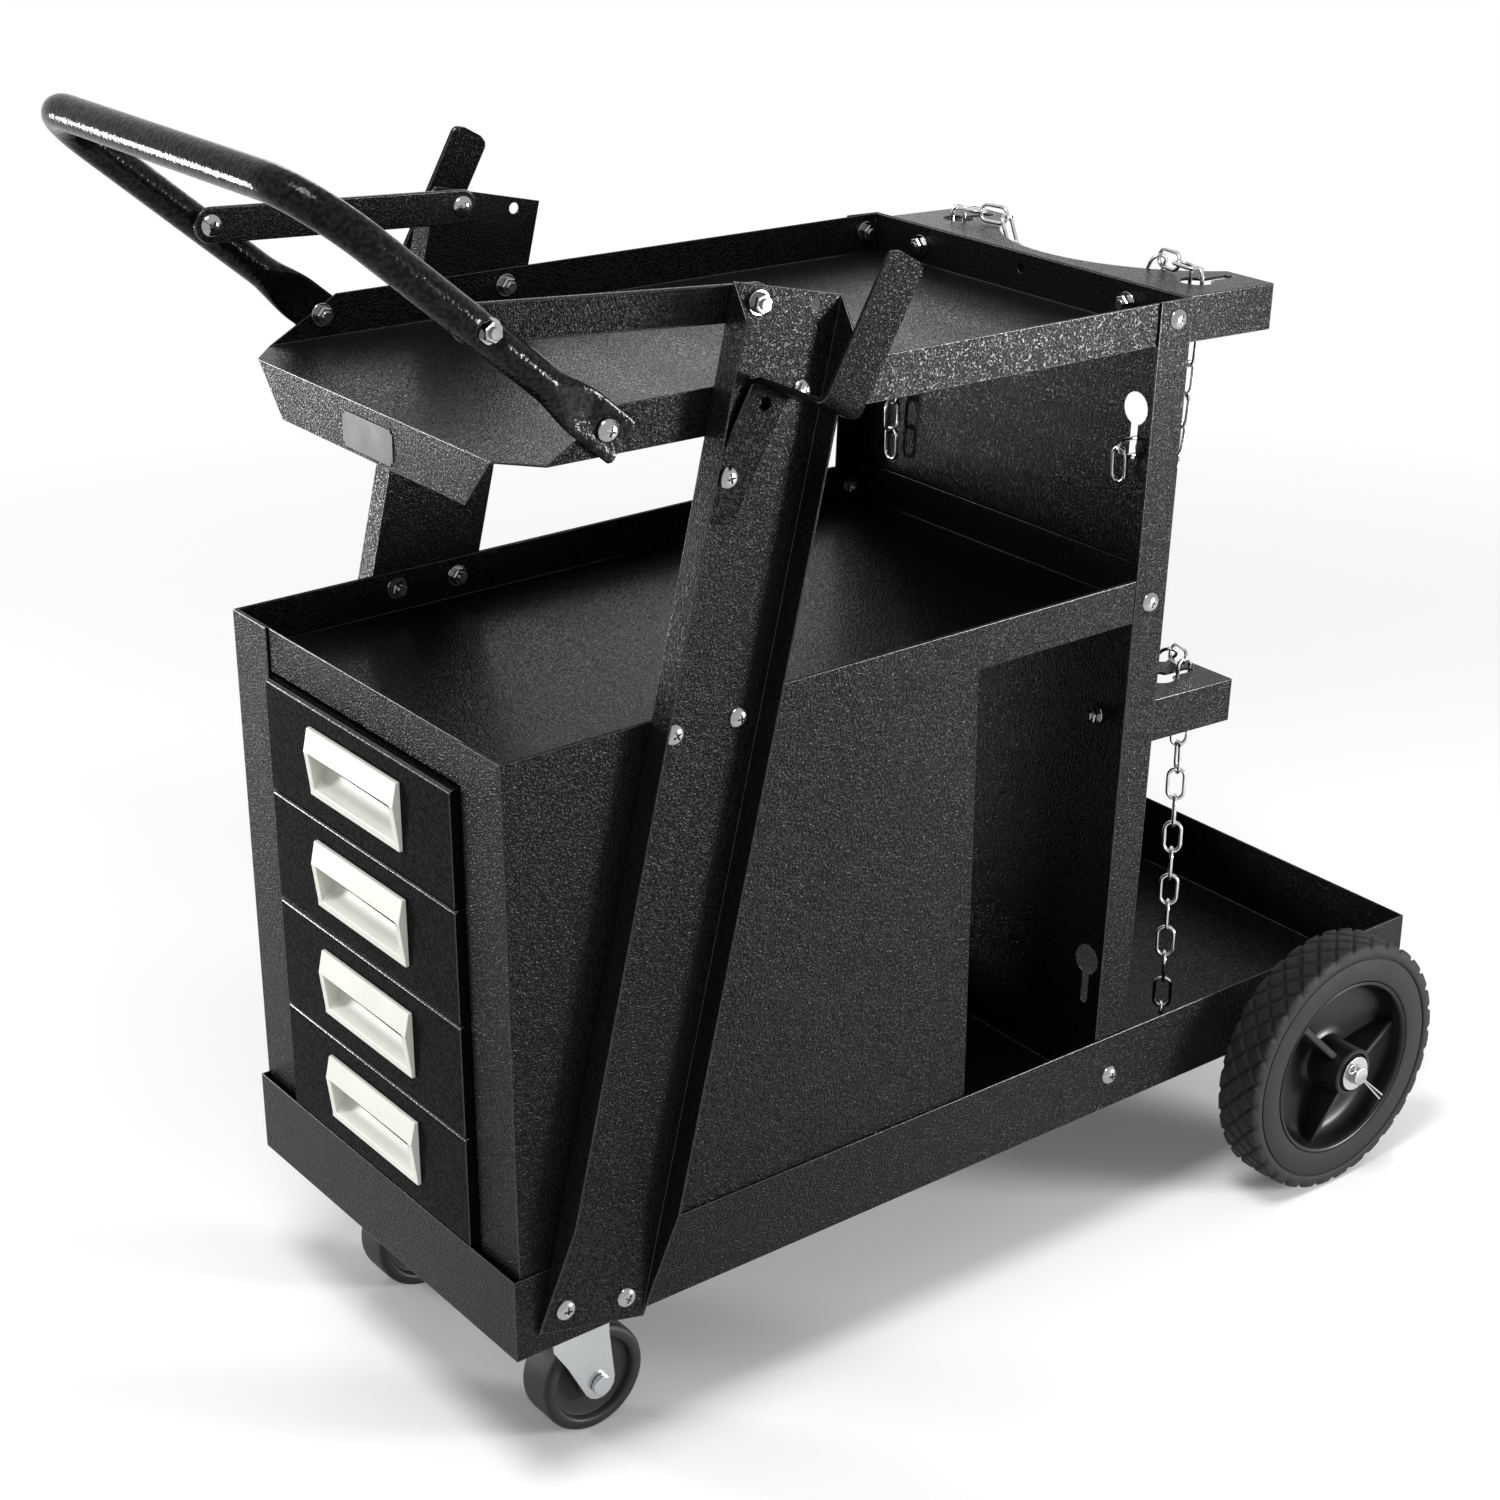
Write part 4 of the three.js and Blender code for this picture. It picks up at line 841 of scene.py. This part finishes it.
def buildChains(s):
    tree, pitch = linkTree(), s["pitch"]
    values = {"Length": s["length"] / 1000, "Width": s["width"] / 1000, "Wire": s["wire"] / 1000, "Finish": chainZinc}
    across, bow, swag = s["bracketHole"], s["bow"], s["swag"]
    low, high = (v + s["lift"] for v in s["brackets"])
    slot = s["slot"] + s["width"] / 2 + s["slotRest"]
    front = -s["sheet"] - s["lift"] - s["clear"]
    inFront = panelPoint(front, -s["panelHole"], slot)
    behind = panelPoint(front + pitch, -s["panelHole"], slot)
    raised = panelPoint(s["bracketHoleX"], -across, high)
    edge = panelPoint(s["bracketHoleX"] + bow, math.sqrt((2 * pitch) ** 2 - bow ** 2) - across, high)
    half = [inFront] + hangChain(behind, raised, s["rise"], pitch) + [raised.lerp(edge, 0.5)]
    near, far = s["upperEnds"]
    joints = freeEnd(inFront, near, pitch)[::-1] + half + hangChain(edge, acrossCart(edge), swag, pitch)
    joints += [acrossCart(v) for v in reversed(half)] + freeEnd(acrossCart(inFront), far, pitch)
    settle(runTree("upper_chain_links", tree, linkSpots(joints, near), values), "chassis", "zinc", "upper_chain")
    slotX = s["bracketHoleX"] + s["slotReach"] - s["width"] / 2 - s["slotGap"]
    above = panelPoint(slotX, -across, low)
    edge = panelPoint(slotX + bow, math.sqrt(pitch ** 2 - bow ** 2) - across, low)
    below = above - Vector((0, 0, pitch))
    near, far = s["lowerEnds"]
    joints = freeEnd(below, near, pitch)[::-1] + [below, above] + hangChain(edge, acrossCart(edge), swag, pitch)
    joints += [acrossCart(above), acrossCart(below)] + freeEnd(acrossCart(below), far, pitch)
    links = runTree("lower_chain_links", tree, linkSpots(joints, near, s["twist"]), values)
    settle(links, "chassis", "zinc", "lower_chain")


# screw heads and nuts
screwSet = {"head": 6.5, "rise": 3.1, "cross": (1.5, 7.0, 1.8), "segments": 36}
nutSet = {"washer": 6.8, "washerRise": 1.2, "across": 9.4, "rise": 4.4, "stub": 2.9, "stubRise": 7.4,
          "bore": 2.6}


def discProfile(points, segments):
    rings = []
    for step in range(segments):
        angle = step / segments * 2 * math.pi
        rings.append([Vector((r * math.cos(angle), r * math.sin(angle), z)) / 1000 for r, z in points])
    return rings


def screwHead(s):
    h, r = s["rise"], s["head"]
    dome = [(0.001, h), (r * 0.35, h * 0.97), (r * 0.6, h * 0.84), (r * 0.8, h * 0.62), (r * 0.94, h * 0.3),
            (r, 0.12), (r, -0.6), (0.001, -0.6)]
    mesh = gridMesh("screwHead", discProfile(dome, s["segments"]), True)
    bm = bmesh.new()
    bm.from_mesh(mesh)
    bmesh.ops.remove_doubles(bm, verts=bm.verts, dist=5e-6)
    bmesh.ops.recalc_face_normals(bm, faces=bm.faces)
    bm.to_mesh(mesh)
    bm.free()
    head = linkObject("screwHead", mesh)
    wide, long, deep = (v / 1000 for v in s["cross"])
    for turn in (0, math.pi / 2):
        bm = bmesh.new()
        bmesh.ops.create_cube(bm, size=1)
        for v in bm.verts:
            taper = 1.0 if v.co.z > 0 else 0.55
            up = h / 1000 - deep / 2 + v.co.z * (deep + 0.001) + 0.0005
            v.co = Vector((v.co.x * long * taper, v.co.y * wide * taper, up))
        bmesh.ops.rotate(bm, matrix=Matrix.Rotation(turn, 3, "Z"), verts=bm.verts)
        tool = bpy.data.meshes.new("cross")
        bm.to_mesh(tool)
        bm.free()
        toolObj = linkObject("cross", tool)
        cutter = head.modifiers.new("cross", "BOOLEAN")
        cutter.object = toolObj
        bakeModifiers(head)
        bpy.data.objects.remove(toolObj)
    smoothMesh(head.data, 32)
    return head


def nutShape(s):
    w, low, bolt, tip = s["washer"], s["washerRise"], s["stub"], s["stubRise"]
    high, corner, bore = low + s["rise"], s["across"] / math.sqrt(3), s["bore"]
    flat = [(bore, -0.3), (w, -0.3), (w, low - 0.25), (w - 0.25, low), (bore, low)]
    six = [(bore, low), (corner, low), (corner, high - 0.7), (corner * 0.87, high), (bore, high)]
    end = [(0.001, low), (bolt + 0.2, low), (bolt + 0.2, tip - 0.4), (bolt - 0.2, tip), (0.001, tip)]
    washer = gridMesh("nut", discProfile(flat, 32), True)
    hexa = gridMesh("hex", discProfile(six, 6), True)
    stub = gridMesh("stub", discProfile(end, 20), True)
    nut = linkObject("nutShape", washer)
    joinInto(nut, linkObject("hex", hexa), linkObject("stub", stub))
    smoothMesh(nut.data, 32)
    return nut


def fastenerTree():
    tree, start, end = newTree("fasteners", [("Shape", "NodeSocketObject"), ("Finish", "NodeSocketMaterial")])
    info = tree.nodes.new("GeometryNodeObjectInfo")
    tree.links.new(start.outputs["Shape"], info.inputs["Object"])
    finishTree(tree, start, end, info.outputs["Geometry"])
    return tree


def facing(direction, spin):
    return (Vector(direction).to_track_quat("Z", "Y") @ Quaternion((0, 0, 1), spin)).to_euler()


# outer face of a post, which leans back and pinches in towards its top
webSet = {"face": 145.8, "foot": 118.4, "lean": 13.73, "pinch": 0.26}


def webFace(z):
    along = (z - webSet["foot"]) / math.cos(math.radians(webSet["lean"]))
    return webSet["face"] - along * math.sin(math.radians(webSet["pinch"]))


# places are (along, up), and the planes are distances from the middle of the cart
fastenerSet = {
    "postScrews": [(31.8, 122.7), (72.9, 114.0), (112.0, 449.3), (154.5, 448.4), (197.0, 621.4)],
    "panelScrews": [(474.2, 615.0), (465.3, 443.5)],
    "baseScrew": (452.7, 123.8), "hookBolt": (146.0, 584.8), "handleBolt": (73.0, 623.0),
    "braceBolts": [(4.0, 685.0), (168.4, 672.3)], "bracketNut": (94.0, 252.0), "trayNut": (482.0, 93.3, 613.5),
    "inside": 139.8, "footInside": 142.8, "panelFace": 142.5, "baseFace": 144.0, "baseInside": 141.3,
    "hookFace": 147.1, "handleFace": 145.8, "braceFace": 149.0, "braceInside": (130.2, 138.0),
    "bracketWay": (-1, 0, 0.043), "trayWay": (-1, 0, 0.02), "spin": 0.35, "screwSpin": 1.1, "nutSpin": 0.7,
}


def buildFasteners(s):
    screws, nuts = [], []
    spin = s["spin"]
    for side in (-1, 1):
        out, back = (0, side, 0), (0, -side, 0)

        def screw(x, y, z, way):
            nonlocal spin
            spin += s["screwSpin"]
            screws.append((place(x, side * y, z), facing(way, spin)))

        def nut(x, y, z, way):
            nonlocal spin
            spin += s["nutSpin"]
            nuts.append((place(x, side * y, z), facing(way, spin)))

        for x, z in s["postScrews"]:
            screw(x, webFace(z), z, out)
        for x, z in s["postScrews"][2:4]:
            nut(x, s["inside"], z, back)
        for x, z in s["postScrews"][:2]:
            nut(x, s["footInside"], z, back)
        x, z = s["postScrews"][4]
        nut(x, s["inside"], z, back)
        for x, z in s["panelScrews"]:
            screw(x, s["panelFace"], z, out)
            nut(x, s["inside"], z, back)
        x, z = s["baseScrew"]
        screw(x, s["baseFace"], z, out)
        nut(x, s["baseInside"], z, back)
        x, z = s["hookBolt"]
        screw(x, s["hookFace"], z, out)
        x, z = s["handleBolt"]
        screw(x, s["handleFace"], z, out)
        nut(x, s["inside"], z, back)
        (x, z), (x2, z2) = s["braceBolts"]
        low, high = s["braceInside"]
        nut(x, s["braceFace"], z, out)
        screw(x, low, z, back)
        nut(x2, webFace(z2), z2, out)
        screw(x2, high, z2, back)
        across, up = s["bracketNut"]
        at = panelPoint(-chainSetup["sheet"], side * across, up)
        nuts.append((place(*at), facing(s["bracketWay"], spin)))
        x, across, z = s["trayNut"]
        nuts.append((place(x, side * across, z), facing(s["trayWay"], spin)))
    shape, tree = screwHead(screwSet), fastenerTree()
    obj = runTree("frame_screws", tree, screws, {"Shape": shape, "Finish": screwZinc})
    settle(obj, "chassis", "zinc")
    bpy.data.objects.remove(shape)
    shape = nutShape(nutSet)
    obj = runTree("frame_nuts", tree, nuts, {"Shape": shape, "Finish": screwZinc})
    settle(obj, "chassis", "zinc")
    bpy.data.objects.remove(shape)


addCamera(cameraSet)
paintNodes()
buildSheets()
buildPlate(plateSet)
print("sheets ready")
buildIron(ironSet)
buildHooks(hookSet)
buildHandle(handleSet)
buildWheels()
print("handle and wheels ready")
buildChains(chainSetup)
buildFasteners(fastenerSet)
print("chains and fasteners ready")

# studio: pale floor, soft lamps, white surround
studioSet = {"floor": (0.9, 0.9, 0.9), "reach": (0.85, 1.9), "world": 0.5, "spread": (0.985, 1.0), "roughness": 0.9}
lampSet = {
    "overhead": {"spot": (-0.9, -0.5, 2.5), "aim": (0.0, 0, 0.4), "size": 0.8, "power": 37},
    "right": {"spot": (1.2, -1.45, 0.3), "aim": (0.1, -0.14, 0.55), "size": 0.5, "power": 52},
    "left": {"spot": (-1.3, 1.7, 0.3), "aim": (-0.2, 0, 0.5), "size": 0.5, "power": 30},
    "back": {"spot": (1.7, 2.4, 1.6), "aim": (0, 0, 0.6), "size": 1.3, "power": 9},
}


def addMath(tree, how, a, b):
    node = tree.nodes.new("ShaderNodeMath")
    node.operation = how
    node.use_clamp = True
    tree.links.new(a, node.inputs[0])
    tree.links.new(b, node.inputs[1])
    return node.outputs[0]


# the floor fades into the white around it, and keeps the shadow near the cart
def floorFinish(s):
    mat, tree, shader, coords = newMaterial("studioFloor")
    low, high = (tuple(v * share for v in s["floor"]) for share in s["spread"])
    tree.links.new(addTint(tree, addNoise(tree, coords, 3), low, high), shader.inputs["Base Color"])
    shader.inputs["Roughness"].default_value = s["roughness"]
    shader.inputs["Specular IOR Level"].default_value = 0.0
    far = tree.nodes.new("ShaderNodeVectorMath")
    far.operation = "LENGTH"
    tree.links.new(coords, far.inputs[0])
    fade = addRange(tree, far.outputs["Value"], 0, 1, *s["reach"])
    clear = tree.nodes.new("ShaderNodeBsdfTransparent")
    mix = tree.nodes.new("ShaderNodeMixShader")
    tree.links.new(fade, mix.inputs["Fac"])
    tree.links.new(shader.outputs["BSDF"], mix.inputs[1])
    tree.links.new(clear.outputs["BSDF"], mix.inputs[2])
    tree.links.new(mix.outputs["Shader"], tree.nodes["Material Output"].inputs["Surface"])
    return mat


def buildStudio():
    bm = bmesh.new()
    bmesh.ops.create_grid(bm, x_segments=1, y_segments=1, size=4)
    mesh = bpy.data.meshes.new("studioFloor")
    bm.to_mesh(mesh)
    bm.free()
    linkObject("studioFloor", mesh, floorFinish(studioSet))
    world = bpy.data.worlds.new("studio")
    bpy.context.scene.world = world
    world.use_nodes = True
    tree = world.node_tree
    back = tree.nodes["Background"]
    back.inputs["Color"].default_value = (1, 1, 1, 1)
    path = tree.nodes.new("ShaderNodeLightPath").outputs
    shown = addMath(tree, "ADD", path["Is Camera Ray"], path["Is Glossy Ray"])
    shown = addMath(tree, "ADD", shown, path["Is Transmission Ray"])
    tree.links.new(addRange(tree, shown, studioSet["world"], 1.0, 0.0, 1.0), back.inputs["Strength"])
    for name, s in lampSet.items():
        data = bpy.data.lights.new(name, "AREA")
        data.shape = "DISK"
        data.size = s["size"]
        data.energy = s["power"]
        lamp = bpy.data.objects.new(name, data)
        bpy.context.scene.collection.objects.link(lamp)
        lamp.location = s["spot"]
        lamp.rotation_euler = (Vector(s["aim"]) - Vector(s["spot"])).to_track_quat("-Z", "Y").to_euler()
    bpy.context.scene.view_settings.view_transform = "Standard"


buildStudio()
print("studio ready")
